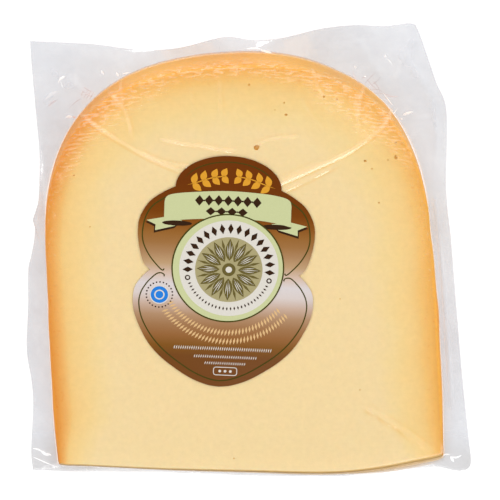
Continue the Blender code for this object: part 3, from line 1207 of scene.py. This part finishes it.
@dataclass
class FilmGathers:
    """The fine creases of the loose film round the wedge, painted bright as glints."""

    finish: Material
    thickness: float = 0.14
    lines: tuple[Gather, ...] = (
        Gather(((-53.7, 48.0), (-52.8, 48.8), (-51.9, 49.3)), 0.75, 1.0),
        Gather(((-53.3, 48.4), (-54.0, 47.1)), 0.3, 0.5),
        Gather(((-53.2, 47.9), (-52.9, 46.9), (-52.4, 45.8)), 0.3, 0.5),
        Gather(((-57.6, 42.6), (-55.6, 44.4), (-53.4, 45.1)), 1.0, 0.3),
        Gather(((-56.8, 40.6), (-55.4, 41.9), (-54.0, 42.6)), 0.7, 0.16, 0.6),
        Gather(((-41.7, 50.9), (-41.3, 50.2), (-41.0, 49.7)), 0.6, 0.95),
        Gather(((-37.4, 50.4), (-37.2, 49.8), (-36.9, 49.2)), 0.6, 0.9),
        Gather(((-36.0, 49.8), (-34.8, 50.1), (-33.4, 50.3)), 0.4, 0.9),
        Gather(((-51.9, 37.7), (-50.9, 37.9), (-49.9, 37.8)), 0.8, 0.95),
        Gather(((-49.9, 37.8), (-49.0, 37.6)), 0.6, 0.5, 0.8),
        Gather(((38.3, 55.3), (38.5, 54.9), (38.6, 54.6)), 0.6, 1.0),
        Gather(((38.6, 54.4), (39.6, 53.6), (40.4, 52.4)), 0.25, 0.6),
        Gather(((29.7, 52.2), (30.0, 51.8), (30.1, 51.4)), 0.6, 1.0),
        Gather(((29.2, 51.0), (29.7, 49.2), (30.6, 47.6), (32.6, 45.8)), 0.22, 0.4, 0.8),
        Gather(((37.8, 44.6), (39.0, 43.0), (40.8, 40.8)), 0.4, 0.8),
        Gather(((43.4, 38.2), (44.7, 38.9), (46.4, 39.3)), 0.75, 1.0),
        Gather(((42.8, 37.3), (43.5, 37.2)), 0.6, 0.8),
        Gather(((40.3, 38.2), (41.2, 39.2), (41.9, 40.3)), 0.3, 0.6),
        Gather(((38.0, 43.8), (40.2, 43.5), (42.5, 43.6)), 0.22, 0.3, 0.8),
        Gather(((-0.9, 56.9), (1.4, 57.1), (3.7, 56.8)), 0.5, 0.85),
        Gather(((3.2, 56.6), (4.8, 56.2), (6.5, 55.7)), 0.75, 1.0),
        Gather(((57.3, -58.5), (58.3, -60.2)), 0.9, 1.0),
        Gather(((57.3, -58.6), (58.9, -58.9), (60.5, -58.2)), 0.6, 0.9),
        Gather(((55.0, -58.6), (55.8, -58.0), (57.2, -58.0)), 0.45, 0.9),
        Gather(((-61.6, -56.2), (-59.8, -56.6), (-58.6, -57.4)), 0.55, 0.95),
        Gather(((-59.4, -56.8), (-58.2, -57.7), (-57.0, -58.4)), 1.0, 0.85),
        Gather(((-57.9, -57.6), (-57.0, -57.9), (-56.2, -58.2)), 0.7, 0.9),
        Gather(((-61.7, -58.6), (-59.4, -59.6), (-57.2, -60.6), (-55.2, -61.3)), 0.4, 0.85),
    )
    # Crossed hairlines at both shoulders, tinted with a painted reflection of the rind beside them.
    hairlines: tuple[Route, ...] = (
        ((32.5, 46.9), (34.2, 48.9), (35.9, 50.6)), ((33.3, 46.0), (35.9, 47.7), (37.3, 49.4)),
        ((33.9, 45.5), (36.2, 45.5), (37.8, 44.9)), ((32.8, 48.9), (34.5, 46.9), (36.4, 45.2)),
        ((34.7, 48.0), (36.2, 46.6), (37.0, 44.6)), ((35.6, 44.6), (38.1, 44.3), (40.4, 43.8)),
        ((31.4, 48.0), (32.2, 48.9), (33.9, 49.4)), ((-47.6, 43.4), (-46.9, 44.9), (-46.0, 46.2)),
        ((-46.9, 42.8), (-46.0, 44.3), (-45.3, 46.0)), ((-46.1, 42.5), (-45.4, 43.8), (-44.5, 45.5)),
        ((-45.3, 42.5), (-44.6, 43.5), (-43.8, 44.9)), ((-47.5, 45.3), (-45.9, 44.3), (-44.2, 43.2)),
        ((-46.9, 46.4), (-45.3, 45.2), (-43.9, 44.7)), ((-50.8, 40.1), (-48.9, 42.1), (-46.9, 43.0)),
    )
    hairline: tuple[float, float, float] = (0.24, 0.18, 1.0)

    def lay(self, shape: Shape, gather: Gather, film: bpy.types.Object) -> None:
        """Lays one line on the film below it.

        Args:
            shape: what the line is added to.
            gather: the line.
            film: the film that it lies on.
        """
        graph = bpy.context.evaluated_depsgraph_get()
        route = respace(curve_through(gather.route, 4), 11, closed_end=True)
        hits = [film.ray_cast((x * MM, y * MM, 0.1), (0, 0, -1), depsgraph=graph) for x, y in route]
        if not all(hit[0] for hit in hits):
            return
        line = np.array([hit[1] for hit in hits]) / MM
        up = np.array([hit[2] for hit in hits])
        across = np.cross(up, np.gradient(line, axis=0))
        across /= np.linalg.norm(across, axis=1)[:, None]
        stations = np.linspace(-1.0, 1.0, len(line))
        cloud, blush = (shape.verts.layers.float[name] for name in ("cloud", "blush"))
        for vert in bmesh.ops.create_uvsphere(shape, u_segments=6, v_segments=8, radius=1.0)["verts"]:
            side, rise, place = vert.co
            slim = math.sqrt(max(0.0, 1.0 - place**2))
            middle, out, top = (
                np.array([np.interp(place, stations, column) for column in rows.T])
                for rows in (line, across, up)
            )
            beside, above = side * slim * gather.width / 2, (rise * slim + 0.3) * self.thickness / 2
            vert.co = middle + out * beside + top * above
            vert[cloud] = gather.cloud
            vert[blush] = gather.blush

    def build(self, film: bpy.types.Object) -> bpy.types.Object:
        """Builds all the lines as one piece.

        Args:
            film: the film that they lie on.

        Returns:
            The finished piece.
        """
        shape = bmesh.new()
        for name in ("cloud", "blush"):
            shape.verts.layers.float.new(name)
        for gather in (*self.lines, *(Gather(route, *self.hairline) for route in self.hairlines)):
            self.lay(shape, gather, film)
        lines = make_piece("film_gathers", shape, [self.finish])
        lines.visible_shadow = False
        return lines


# ---- Label ----

SIDES = (1.0, -1.0)
MIRROR = (-1.0, 1.0)


@dataclass(frozen=True)
class LabelPlace:
    """Where the label lies on the front cut face, and how it is turned there."""

    wedge: WedgePlace
    middle: Pair = (-4.1, 72.3)
    turn: float = math.radians(-6.3)
    height: float = 0.06

    def matrix(self) -> Matrix:
        """Matrix from the label's axes to the row frame, in millimetres."""
        front = self.wedge.matrix() @ Matrix.Rotation(self.wedge.angle, 4, "X")
        return front @ Matrix.Translation((*self.middle, self.height)) @ Matrix.Rotation(self.turn, 4, "Z")


@dataclass(frozen=True)
class CoatedPaper:
    """Coated label paper, printed in one brown that fades to a pale band at the waist: satin and smooth."""

    place: LabelPlace
    # From the lowest point of the label to its highest, as shares of the print's height.
    fade: tuple = (
        (0.0, "#6e3f14"), (0.131, "#6f4217"), (0.175, "#7c4f19"), (0.219, "#8f5f33"), (0.264, "#9a704a"),
        (0.308, "#aa8666"), (0.352, "#bfa492"), (0.397, "#cec2bd"), (0.441, "#cfc7c6"), (0.485, "#c9b09f"),
        (0.53, "#b5946e"), (0.574, "#a47d56"), (0.618, "#976a3b"), (0.662, "#8f5e29"), (0.699, "#834d17"),
        (0.751, "#713a02"), (0.795, "#6b3500"), (0.884, "#672f00"), (1.0, "#663000"),
    )
    half_height: float = 33.85
    grain: float = 0.35

    def material(self) -> Material:
        """Makes the printed paper.

        Returns:
            The material.
        """
        nodes = Nodes(bpy.data.materials.new("coated label paper"))
        add, matrix = nodes.add, self.place.matrix()
        local = add("Mapping", {
            "Vector": nodes.place, "Location": matrix.to_translation() * MM,
            "Rotation": matrix.to_euler("XYZ"), "Scale": (MM, MM, MM),
        }, vector_type="TEXTURE")
        height = add("SeparateXYZ", [local]).outputs["Y"]
        share = add("MapRange", [height, -self.half_height, self.half_height])
        grains = add("TexNoise", {
            "Vector": nodes.place, "Scale": 1 / (self.grain * MM), "Detail": 4.0, "Roughness": 0.7
        })
        value, roughness = (
            add("MapRange", [grains, 0.0, 1.0, low, high])
            for low, high in ((0.94, 1.06), (0.36, 0.5))
        )
        return nodes.surface(add("BsdfPrincipled", {
            "Base Color": add("HueSaturation", {
                "Color": add("ValToRGB", {"Fac": share}, stops=self.fade), "Value": value
            }),
            "Roughness": roughness,
            "Normal": add("Bump", {"Height": grains, "Strength": 0.15, "Distance": 0.03 * MM}),
            "Specular IOR Level": 0.1,
        }))


class Ink(Enum):
    """The inks: colour, deeper colour, and the record's slot."""

    UMBER = ("#37200a", "#2b1606", Slot.DARK)
    CELADON = ("#c5c998", "#bbc08e", Slot.GREEN)
    IVORY = ("#d8d3ca", "#cec9be", Slot.WHITE)
    OLIVE = ("#6e6234", "#564c22", Slot.DARK)
    OCHRE = ("#da9c30", "#cc8e24", Slot.GOLD)
    STRAW = ("#dcb684", "#d0aa74", Slot.GOLD)
    AZURE = ("#2a80d8", "#1a70c8", Slot.BLUE)
    MOSS = ("#48440e", "#3a3606", Slot.DARK)
    SAGE = ("#aca27a", "#988e62", Slot.DARK)


@dataclass(frozen=True)
class OffsetInk:
    """Offset ink on coated paper: flat and even, a little darker where a screen of fine dots shows."""

    ink: Ink
    screen: float = 0.4

    def material(self) -> Material:
        """Makes the ink.

        Returns:
            The material.
        """
        nodes = Nodes(bpy.data.materials.new(f"offset ink {self.ink.name.lower()}"))
        add, (high, low, _) = nodes.add, self.ink.value
        grains = add("TexNoise", {
            "Vector": nodes.place, "Scale": 1 / (self.screen * MM), "Detail": 3.0, "Roughness": 0.6
        })
        colour = add("Mix", {"Factor": grains, "A": linear(low), "B": linear(high)}, data_type="RGBA")
        return nodes.surface(add("BsdfPrincipled", {
            "Base Color": colour,
            "Roughness": add("MapRange", [grains, 0.0, 1.0, 0.34, 0.48]),
            "Specular IOR Level": 0.1,
        }))


def flat_face(shape: Shape, outline: np.ndarray) -> bmesh.types.BMFace:
    """Adds one flat face with the given outline."""
    return shape.faces.new([shape.verts.new((float(x), float(y), 0.0)) for x, y in outline])


def stroke(shape: Shape, route: np.ndarray, width: float, taper: float = 0.0) -> None:
    """Draws a line as a thin strip.

    Args:
        shape: what the strip is added to.
        route: its middle line.
        width: its width.
        taper: the share of its length over which each end narrows to a point.
    """
    ahead = np.gradient(route, axis=0)
    across = np.column_stack((-ahead[:, 1], ahead[:, 0])) / np.linalg.norm(ahead, axis=1)[:, None]
    share = np.linspace(0.0, 1.0, len(route))
    half = np.full(len(route), width / 2)
    if taper:
        half *= np.clip(np.minimum(share, 1.0 - share) / taper, 0.08, 1.0)
    left, right = route + across * half[:, None], route - across * half[:, None]
    pair = [shape.verts.new((*left[0], 0.0)), shape.verts.new((*right[0], 0.0))]
    edge = shape.edges.new(pair)
    for station in range(1, len(route)):
        made = bmesh.ops.extrude_edge_only(shape, edges=[edge])["geom"]
        edge = next(
            item for item in made
            if isinstance(item, bmesh.types.BMEdge) and not set(pair) & set(item.verts)
        )
        far = {end.other_vert(old) for old in pair for end in old.link_edges} & set(edge.verts)
        pair = [
            next(vert for vert in far if any(old in end.verts for end in vert.link_edges))
            for old in pair
        ]
        pair[0].co = (*left[station], 0.0)
        pair[1].co = (*right[station], 0.0)


def spoke(turn: float) -> np.ndarray:
    """The direction at a turn, anticlockwise from the right."""
    return np.array((math.cos(turn), math.sin(turn)))


def arc_points(centre: Pair, radii: Pair, start: float, end: float, steps: int) -> np.ndarray:
    """Points of an elliptical arc, with angles in degrees, anticlockwise from the right."""
    turns = np.radians(np.linspace(start, end, steps + 1))
    return np.column_stack((centre[0] + radii[0] * np.cos(turns), centre[1] + radii[1] * np.sin(turns)))


def circle(centre: Pair, radius: float, steps: int) -> np.ndarray:
    """Points of a circle, anticlockwise from the right."""
    return arc_points(centre, (radius, radius), 0.0, 360.0, steps)[:-1]


def flat_shape(outlines: Sequence[np.ndarray]) -> Shape:
    """Starts a shape.

    Args:
        outlines: the outlines of its flat faces.

    Returns:
        The flat shape.
    """
    shape = bmesh.new()
    for outline in outlines:
        flat_face(shape, outline)
    return shape


def lozenge(shape: Shape, place: Matrix, size: Pair, corners: int = 4) -> None:
    """Adds a flat lozenge, or an oval of more corners."""
    flatten = Matrix.Diagonal((size[0] / 2, size[1] / 2, 1.0, 1.0))
    bmesh.ops.create_circle(shape, cap_ends=True, segments=corners, radius=1.0, matrix=place @ flatten)


def leaf_outline(base: np.ndarray, tip: np.ndarray, width: float) -> np.ndarray:
    """Draws a leaf or petal.

    Args:
        base: where it starts.
        tip: where it ends.
        width: its greatest width.

    Returns:
        Its outline.
    """
    share = np.linspace(0.0, 1.0, 9)
    along = tip - base
    across = np.array((-along[1], along[0])) / np.linalg.norm(along)
    half = width / 2 * np.sin(np.pi * share**0.8)
    line = base + along * share[:, None]
    left, right = line + across * half[:, None], line - across * half[:, None]
    return np.vstack((right, left[-2:0:-1]))


def thicken(shape: Shape, thickness: float) -> list[bmesh.types.BMVert]:
    """Gives flat faces a thickness.

    Args:
        shape: the faces, looking up.
        thickness: how far they are raised.

    Returns:
        The raised points.
    """
    raised = verts_of(bmesh.ops.extrude_face_region(shape, geom=list(shape.faces))["geom"])
    bmesh.ops.translate(shape, vec=(0.0, 0.0, thickness), verts=raised)
    bmesh.ops.recalc_face_normals(shape, faces=shape.faces)
    return raised


@dataclass
class LabelPrint:
    """The label's card and its print, each ink laid on the one below it."""

    place: LabelPlace
    card_thickness: float = 0.15
    card_burr: float = 0.05
    ink_thickness: float = 0.02
    ink_sink: float = 0.2
    top_lobe_radii: Pair = (14.9, 9.45)
    top_lobe_foot: float = 24.4
    middle_lobe: Route = (
        (14.9, 24.4), (18.4, 22.5), (22.1, 19.5), (24.5, 15.0), (24.9, 10.6), (24.2, 5.9), (22.9, 1.8),
        (21.0, -0.2),
    )
    lower_lobe: Route = (
        (21.0, -0.2), (23.0, -2.2), (25.0, -5.3), (25.45, -9.2), (24.9, -12.9), (23.1, -17.3), (20.5, -21.8),
        (17.0, -25.6), (12.8, -28.8), (8.0, -31.7), (3.4, -33.4), (0.0, -33.85),
    )
    # The right half of the fine line inside the card's edge, above and below the waist. The line over the top
    # lobe follows: its radii, its angles and its width.
    contour_lines: tuple[Route, Route] = (
        ((-17.0, 0.3), (-17.7, -0.1), (-20.4, 2.7), (-22.1, 5.2), (-23.3, 8.0), (-23.6, 11.0), (-22.9, 15.2),
         (-21.0, 18.6), (-17.5, 21.2)),
        ((-16.9, -2.0), (-17.0, -1.4), (-17.8, -1.0), (-18.9, -1.2), (-20.3, -2.4), (-21.9, -4.3),
         (-23.3, -7.0), (-23.7, -10.0), (-22.9, -13.9), (-21.1, -17.6), (-18.6, -21.1), (-15.5, -24.2),
         (-11.8, -27.0), (-7.4, -29.8), (-3.0, -31.6), (0.0, -32.1)),
    )
    contour_width: float = 0.36
    top_line: tuple[Pair, Pair, float] = ((13.2, 7.7), (165.0, 15.0), 0.28)
    # The right tail of the ribbon, and its shadow.
    tail: Route = ((17.6, 15.4), (22.6, 14.3), (20.0, 13.1), (20.1, 11.4), (14.6, 12.9), (12.6, 14.6))
    tail_shadow: Route = (
        (18.0, 14.85), (23.0, 13.75), (20.4, 12.55), (20.4, 10.65), (14.7, 12.25), (13.1, 14.05)
    )
    curl: tuple[Pair, Pair] = ((14.0, 13.75), (4.2, 0.75))
    panel_top: Route = (
        (17.9, 20.0), (17.4, 21.5), (15.4, 22.5), (10.0, 23.3), (0.0, 23.7), (-10.0, 23.0), (-15.6, 22.2),
        (-17.4, 21.2), (-17.8, 19.7),
    )
    panel_foot: Route = (
        (-17.7, 14.2), (-13.6, 14.7), (-7.2, 15.3), (0.0, 15.6), (7.4, 15.6), (13.6, 14.9), (18.0, 13.9),
    )
    # Rows of lozenges and dots on the ribbon: how many, their pitch, size, height, and shift to the right.
    lozenge_rows: tuple = ((7, 2.7, (2.5, 3.1), 20.9, 0.1), (4, 3.0, (2.8, 2.4), 17.7, -0.2))
    dot: Pair = (0.5, 0.5)
    stem: Route = ((12.4, 25.0), (9.5, 25.9), (6.0, 27.2), (2.6, 27.9), (1.4, 28.0))
    sprig_shift: Pair = (0.7, 0.0)
    badge_middle: Pair = (0.9, 1.2)
    badge_radius: float = 15.9
    disc_middle: Pair = (1.2, 1.2)
    # The border of the badge: how many studs, between which angles, how far out, and their size.
    stud_rows: tuple = ((17, -4.0, 184.0, 11.6, (3.0, 1.6)), (27, 204.0, 336.0, 11.9, (1.1, 0.5)))
    rosette_middle: Pair = (1.2, 0.8)
    petals: int = 12
    # Fine lines in a petal: how far beside its middle, in radians, and between which radii.
    vein_lines: tuple = ((0.0, 3.2, 8.4), (0.09, 4.0, 7.2), (-0.09, 4.0, 7.2))
    seal_middle: Pair = (-18.0, -7.4)
    seal_rings: tuple = (
        ("seal_edge", Ink.IVORY, 2.75), ("seal_disc", Ink.AZURE, 2.45), ("seal_inner", Ink.IVORY, 1.45),
        ("seal_middle", Ink.AZURE, 1.1),
    )
    # Ropes of slanted strokes: the curved ones' radius and angles, the straight ones' height, ends and width.
    rope_arcs: tuple = ((19.0, -146.0, -38.0), (21.6, -143.0, -38.0))
    rope_lines: tuple = ((-22.6, -13.2, 14.4, 1.2), (-25.0, -7.4, 10.1, 1.0), (-26.9, -4.3, 7.0, 0.95))
    box_middle: Pair = (1.6, -29.2)
    box_half: Pair = (3.3, 1.15)
    box_radius: float = 0.7

    def card(self) -> None:
        """Makes the die-cut card, with the faint burr of the die rounded off its upper edge."""
        top = arc_points((0.0, self.top_lobe_foot), self.top_lobe_radii, 90.0, 0.0, 24)[:-1]
        lower = curve_through(self.lower_lobe, 6)
        half = np.vstack((top, curve_through(self.middle_lobe, 6)[:-1], lower))
        shape = flat_shape([np.vstack((half, (half * MIRROR)[-2:0:-1]))])
        raised = set(thicken(shape, self.card_thickness))
        upper = [edge for edge in shape.edges if raised.issuperset(edge.verts)]
        bmesh.ops.bevel(
            shape, geom=upper, offset=self.card_burr, affect="EDGES", segments=2, profile=0.5, material=-1
        )
        bmesh.ops.transform(shape, matrix=self.place.matrix(), verts=shape.verts)
        card = make_piece("label_card", shape, [CoatedPaper(self.place).material()])
        settle(card, Slot.PAPER, replaces="label")

    def contour(self) -> Shape:
        """Draws a fine line inside the card's edge, which ends in curls at the waist.

        Returns:
            The flat shape.
        """
        shape = bmesh.new()
        for side in SIDES:
            for points in self.contour_lines:
                stroke(shape, curve_through(points, 6) * (side, 1.0), self.contour_width)
        radii, turns, width = self.top_line
        stroke(shape, arc_points((0.0, self.top_lobe_foot), radii, *turns, 40), width, taper=0.2)
        return shape

    def sprigs(self) -> Shape:
        """Draws two laurel sprigs on the top lobe, tip to tip.

        Returns:
            The flat shape.
        """
        shape = bmesh.new()
        stem = curve_through(self.stem, 5)
        for side in SIDES:
            stroke(shape, stem * (side, 1.0) + self.sprig_shift, 0.3, taper=0.3)
            for number in range(4):
                base, ahead = stem[3 + number * 4 : 5 + number * 4]
                way = math.atan2(*(ahead - base)[::-1])
                for lean in (56.0, -56.0):
                    tip = base + (3.3 - 0.2 * number) * spoke(way + math.radians(lean))
                    flat_face(shape, leaf_outline(base, tip, 1.9) * (side, 1.0) + self.sprig_shift)
        return shape

    def ribbon_ornament(self) -> Shape:
        """Draws two rows of lozenges on the ribbon, with dots between them.

        Returns:
            The flat shape.
        """
        shape = bmesh.new()
        for count, pitch, size, height, shift in self.lozenge_rows:
            for number in range(count):
                across = (number - (count - 1) / 2) * pitch + shift
                place = Matrix.Translation((across, height - 0.0035 * across**2, 0.0))
                lozenge(shape, place, size)
                if number < count - 1:
                    lozenge(shape, Matrix.Translation((pitch / 2, 0.0, 0.0)) @ place, self.dot, 10)
        return shape

    def studs(self) -> Shape:
        """Draws a border inside the badge's ring: lozenges over its top, two small rings, then dashes.

        Returns:
            The flat shape.
        """
        shape = bmesh.new()
        centre = Matrix.Translation((*self.disc_middle, 0.0))
        for count, start, end, radius, size in self.stud_rows:
            for turn in np.radians(np.linspace(start, end, count)):
                outwards = Matrix.Rotation(turn, 4, "Z") @ Matrix.Translation((radius, 0.0, 0.0))
                lozenge(shape, centre @ outwards, size)
        for side in SIDES:
            middle = (self.disc_middle[0] + 11.5 * side, self.disc_middle[1] - 3.2)
            stroke(shape, arc_points(middle, (0.6, 0.6), 0.0, 360.0, 20), 0.36)
        return shape

    def rosette(self) -> Shape:
        """Draws an engraved rosette of pointed petals in the middle of the badge.

        Returns:
            The flat shape.
        """
        shape = bmesh.new()
        middle = np.array(self.rosette_middle)
        for turn in self.petal_turns:
            flat_face(shape, leaf_outline(middle + spoke(turn) * 2.6, middle + spoke(turn) * 9.1, 2.5))
            between = spoke(turn + math.pi / self.petals)
            stroke(shape, middle + np.outer(np.linspace(5.2, 9.1, 5), between), 0.75, taper=0.5)
        flat_face(shape, circle(self.rosette_middle, 1.9, 32))
        return shape

    def veins(self) -> Shape:
        """Draws fine lines that cut the petals as an engraver would.

        Returns:
            The flat shape.
        """
        shape = bmesh.new()
        for turn in self.petal_turns:
            for lean, start, end in self.vein_lines:
                line = np.outer(np.linspace(start, end, 6), spoke(turn + lean))
                stroke(shape, self.rosette_middle + line, 0.24, taper=0.5)
        flat_face(shape, circle(self.rosette_middle, 0.9, 24))
        return shape

    @property
    def petal_turns(self) -> list[float]:
        """The turn of each petal."""
        return [2 * math.pi * number / self.petals for number in range(self.petals)]

    def curved_ropes(self) -> Shape:
        """Draws rope borders of short slanted strokes, round the badge's foot.

        Returns:
            The flat shape.
        """
        shape = bmesh.new()
        for radius, start, end in self.rope_arcs:
            for turn in np.radians(np.arange(start, end, 0.98 / radius * 180 / math.pi)):
                outwards = spoke(turn)
                around = np.array((-outwards[1], outwards[0]))
                foot = self.badge_middle + outwards * (radius + 0.95)
                tip = self.badge_middle + outwards * (radius - 0.95) + around * 0.5
                stroke(shape, np.linspace(foot, tip, 3), 0.62, taper=0.35)
        return shape

    def straight_ropes(self) -> Shape:
        """Draws straight ropes below the curved ones.

        Returns:
            The flat shape.
        """
        shape = bmesh.new()
        for height, start, end, tall in self.rope_lines:
            for across in np.arange(start, end, 0.62):
                foot = np.array((across, height - tall / 2))
                stroke(shape, np.linspace(foot, foot + (0.28, tall), 3), 0.3, taper=0.3)
        return shape

    def box(self) -> Shape:
        """Draws a small rounded box with three dots.

        Returns:
            The flat shape.
        """
        shape = bmesh.new()
        middle, radius = np.array(self.box_middle), self.box_radius
        inner = np.array(self.box_half) - radius
        route = np.vstack([
            arc_points(middle + inner * corner, (radius, radius), 90.0 * number, 90.0 * number + 90.0, 6)
            for number, corner in enumerate(((1, 1), (-1, 1), (-1, -1), (1, -1)))
        ])
        stroke(shape, np.vstack((route, route[:1])), 0.22)
        for number in (-1, 0, 1):
            flat_face(shape, circle(middle + (1.5 * number, 0.0), 0.4, 12))
        return shape

    def layers(self) -> list[tuple[str, Ink, int, Shape]]:
        """Draws the print.

        Returns:
            Each piece's name, its ink, how many layers of ink it lies on, and its flat shape.
        """
        tail, shadow = np.array(self.tail), np.array(self.tail_shadow)
        curl = arc_points(*self.curl, -80.0, 260.0, 28)[:-1]
        panel = np.vstack((curve_through(self.panel_top, 6), curve_through(self.panel_foot, 4)))
        rim, ring, inside = (
            flat_shape([circle(middle, self.badge_radius - inset, 144)])
            for middle, inset in ((self.badge_middle, 0.0), (self.badge_middle, 0.4), (self.disc_middle, 1.9))
        )
        dots = [
            circle(self.seal_middle + 3.7 * spoke(2 * math.pi * number / 24), 0.24, 8) for number in range(24)
        ]
        return [
            ("label_contour", Ink.MOSS, 0, self.contour()),
            ("gold_sprigs", Ink.OCHRE, 1, self.sprigs()),
            ("ribbon_shadow", Ink.UMBER, 1, flat_shape([shadow, shadow * MIRROR])),
            ("ribbon_tails", Ink.CELADON, 2, flat_shape([tail, tail * MIRROR])),
            ("ribbon_curls", Ink.UMBER, 3, flat_shape([curl, curl * MIRROR])),
            ("ribbon_panel", Ink.CELADON, 4, flat_shape([panel])),
            ("ribbon_ornament", Ink.UMBER, 5, self.ribbon_ornament()),
            ("badge_rim", Ink.MOSS, 5, rim),
            ("badge_ring", Ink.CELADON, 6, ring),
            ("badge_disc", Ink.IVORY, 7, inside),
            ("badge_studs", Ink.UMBER, 8, self.studs()),
            ("rosette_ground", Ink.SAGE, 8, flat_shape([circle(self.rosette_middle, 9.5, 96)])),
            ("badge_rosette", Ink.OLIVE, 9, self.rosette()),
            ("badge_veins", Ink.IVORY, 10, self.veins()),
            *((name, ink, level, flat_shape([circle(self.seal_middle, radius, 40)]))
              for level, (name, ink, radius) in enumerate(self.seal_rings, 1)),
            ("seal_dots", Ink.UMBER, 1, flat_shape(dots)),
            ("rope_curves", Ink.STRAW, 1, self.curved_ropes()),
            ("rope_lines", Ink.IVORY, 1, self.straight_ropes()),
            ("plain_box", Ink.IVORY, 1, self.box()),
        ]

    def build(self) -> None:
        """Builds the card and lays each ink on it, a little sunk into what it lies on."""
        finishes = {ink: OffsetInk(ink).material() for ink in Ink}
        self.card()
        for name, ink, level, shape in self.layers():
            thicken(shape, self.ink_thickness)
            low = self.card_thickness + (level - self.ink_sink) * self.ink_thickness
            lift = Matrix.Translation((0.0, 0.0, low))
            bmesh.ops.transform(shape, matrix=self.place.matrix() @ lift, verts=shape.verts)
            settle(make_piece(name, shape, [finishes[ink]]), ink.value[2])


# ---- Studio ----


@dataclass(frozen=True)
class LightTable:
    """Opal acrylic on a light table: matt, so it throws little of the orange back, with a faint glow."""

    colours: tuple[str, str] = ("#868686", "#8c8c8c")
    glow: float = 0.85

    def material(self) -> Material:
        """Makes the table's top.

        Returns:
            The material.
        """
        nodes = Nodes(bpy.data.materials.new("opal light table"))
        add, (low, high) = nodes.add, map(linear, self.colours)
        fibres = add("TexNoise", {"Vector": nodes.place, "Scale": 60.0, "Detail": 2.0})
        colour = add("Mix", {"Factor": fibres, "A": low, "B": high}, data_type="RGBA")
        glow = add("Emission", {"Strength": self.glow})
        return nodes.surface(add("AddShader", [add("BsdfDiffuse", {"Color": colour}), glow]))


@dataclass(frozen=True)
class SoftBox:
    """A square studio light, aimed at the wedge."""

    name: str
    place: tuple[float, float, float]
    side: float
    radiance: float

    def build(self) -> None:
        """Hangs the light."""
        lamp = bpy.data.lights.new(self.name, "AREA")
        lamp.shape = "SQUARE"
        lamp.size = self.side
        lamp.energy = self.radiance * math.pi * self.side**2
        light = bpy.data.objects.new(self.name, lamp)
        light.location = self.place
        light.rotation_euler = (-Vector(self.place)).to_track_quat("-Z", "Y").to_euler()
        bpy.context.scene.collection.objects.link(light)


@dataclass
class Studio:
    """A pale floor lit from below too, a bright room with a dim card near the camera, and five boxes."""

    camera_place: tuple[float, float, float] = (0.25, 0.2, 1800.0)
    frame_width: float = 142.5
    sensor: float = 36.0
    floor_radius: float = 3000.0
    floor_height: float = -0.1
    room: float = 0.76
    card: float = 0.25
    card_way: tuple[float, float, float] = (0.0, -0.44, 0.898)
    card_edge: Pair = (math.cos(math.radians(32.0)), math.cos(math.radians(17.0)))
    boxes: tuple[SoftBox, ...] = (
        SoftBox("key_box", (-0.32, 0.62, 1.35), 0.45, 9.0),
        SoftBox("right_box", (0.9, 0.4, 0.9), 0.32, 9.0),
        SoftBox("left_box", (-0.95, -0.1, 0.8), 0.25, 8.0),
        SoftBox("front_box", (0.25, -1.15, 0.85), 0.5, 5.0),
        SoftBox("rim_box", (0.0, 1.3, 0.42), 0.5, 1.8),
    )

    def camera(self) -> None:
        """Places the camera straight above, so that the frame is as wide as the photo at the floor."""
        data = bpy.data.cameras.new("camera")
        data.sensor_width = self.sensor
        data.lens = self.sensor * self.camera_place[2] / self.frame_width
        data.clip_start = 0.1
        camera = bpy.data.objects.new("camera", data)
        camera.location = Vector(self.camera_place) * MM
        bpy.context.scene.collection.objects.link(camera)
        bpy.context.scene.camera = camera

    def floor(self) -> None:
        """Lays the floor just under the pack."""
        shape = bmesh.new()
        bmesh.ops.create_circle(shape, cap_ends=True, segments=96, radius=self.floor_radius)
        bmesh.ops.translate(shape, vec=(0.0, 0.0, self.floor_height), verts=shape.verts)
        make_piece("floor", shape, [LightTable().material()])

    def world(self) -> None:
        """Lights the room evenly, but for the card that the flat film would mirror into the camera."""
        nodes = Nodes(bpy.data.worlds.new("soft room"))
        add = nodes.add
        nearness = add("VectorMath.DOT_PRODUCT", [nodes.coordinates["Generated"], self.card_way])
        reach = (*self.card_edge, self.room, self.card)
        strength = add("MapRange", [nearness.outputs["Value"], *reach], interpolation_type="SMOOTHSTEP")
        room = add("Background", {"Color": (1.0, 1.0, 1.0, 1.0), "Strength": strength})
        add("OutputWorld", {"Surface": room})
        bpy.context.scene.world = nodes.owner

    def build(self) -> None:
        """Sets up the room."""
        self.camera()
        self.floor()
        self.world()
        for box in self.boxes:
            box.build()
        bpy.context.scene.view_settings.view_transform = "Standard"


def main() -> None:
    """Builds every piece around the frame, and hides the CAD pouch and label that they replace."""
    logging.basicConfig(level=logging.INFO, format="%(name)s: %(message)s")
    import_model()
    place, face = WedgePlace(), CutFace()
    Studio().build()
    settle(CheeseWedge(place, face).build(), Slot.CHEESE)
    film = PouchFilm(place, face, LaminatedFilm().material()).build()
    settle(film, Slot.FILM, replaces="pouch")
    # The creases' veil is white for painted glints, and pink where it paints the rind's reflection.
    glint_finish = LaminatedFilm(haze_colour="#ffffff", wrinkle_colour="#f6c6b6").material()
    settle(FilmGathers(glint_finish).build(film), Slot.FILM)
    LabelPrint(LabelPlace(place)).build()


if __name__ == "__main__":
    main()
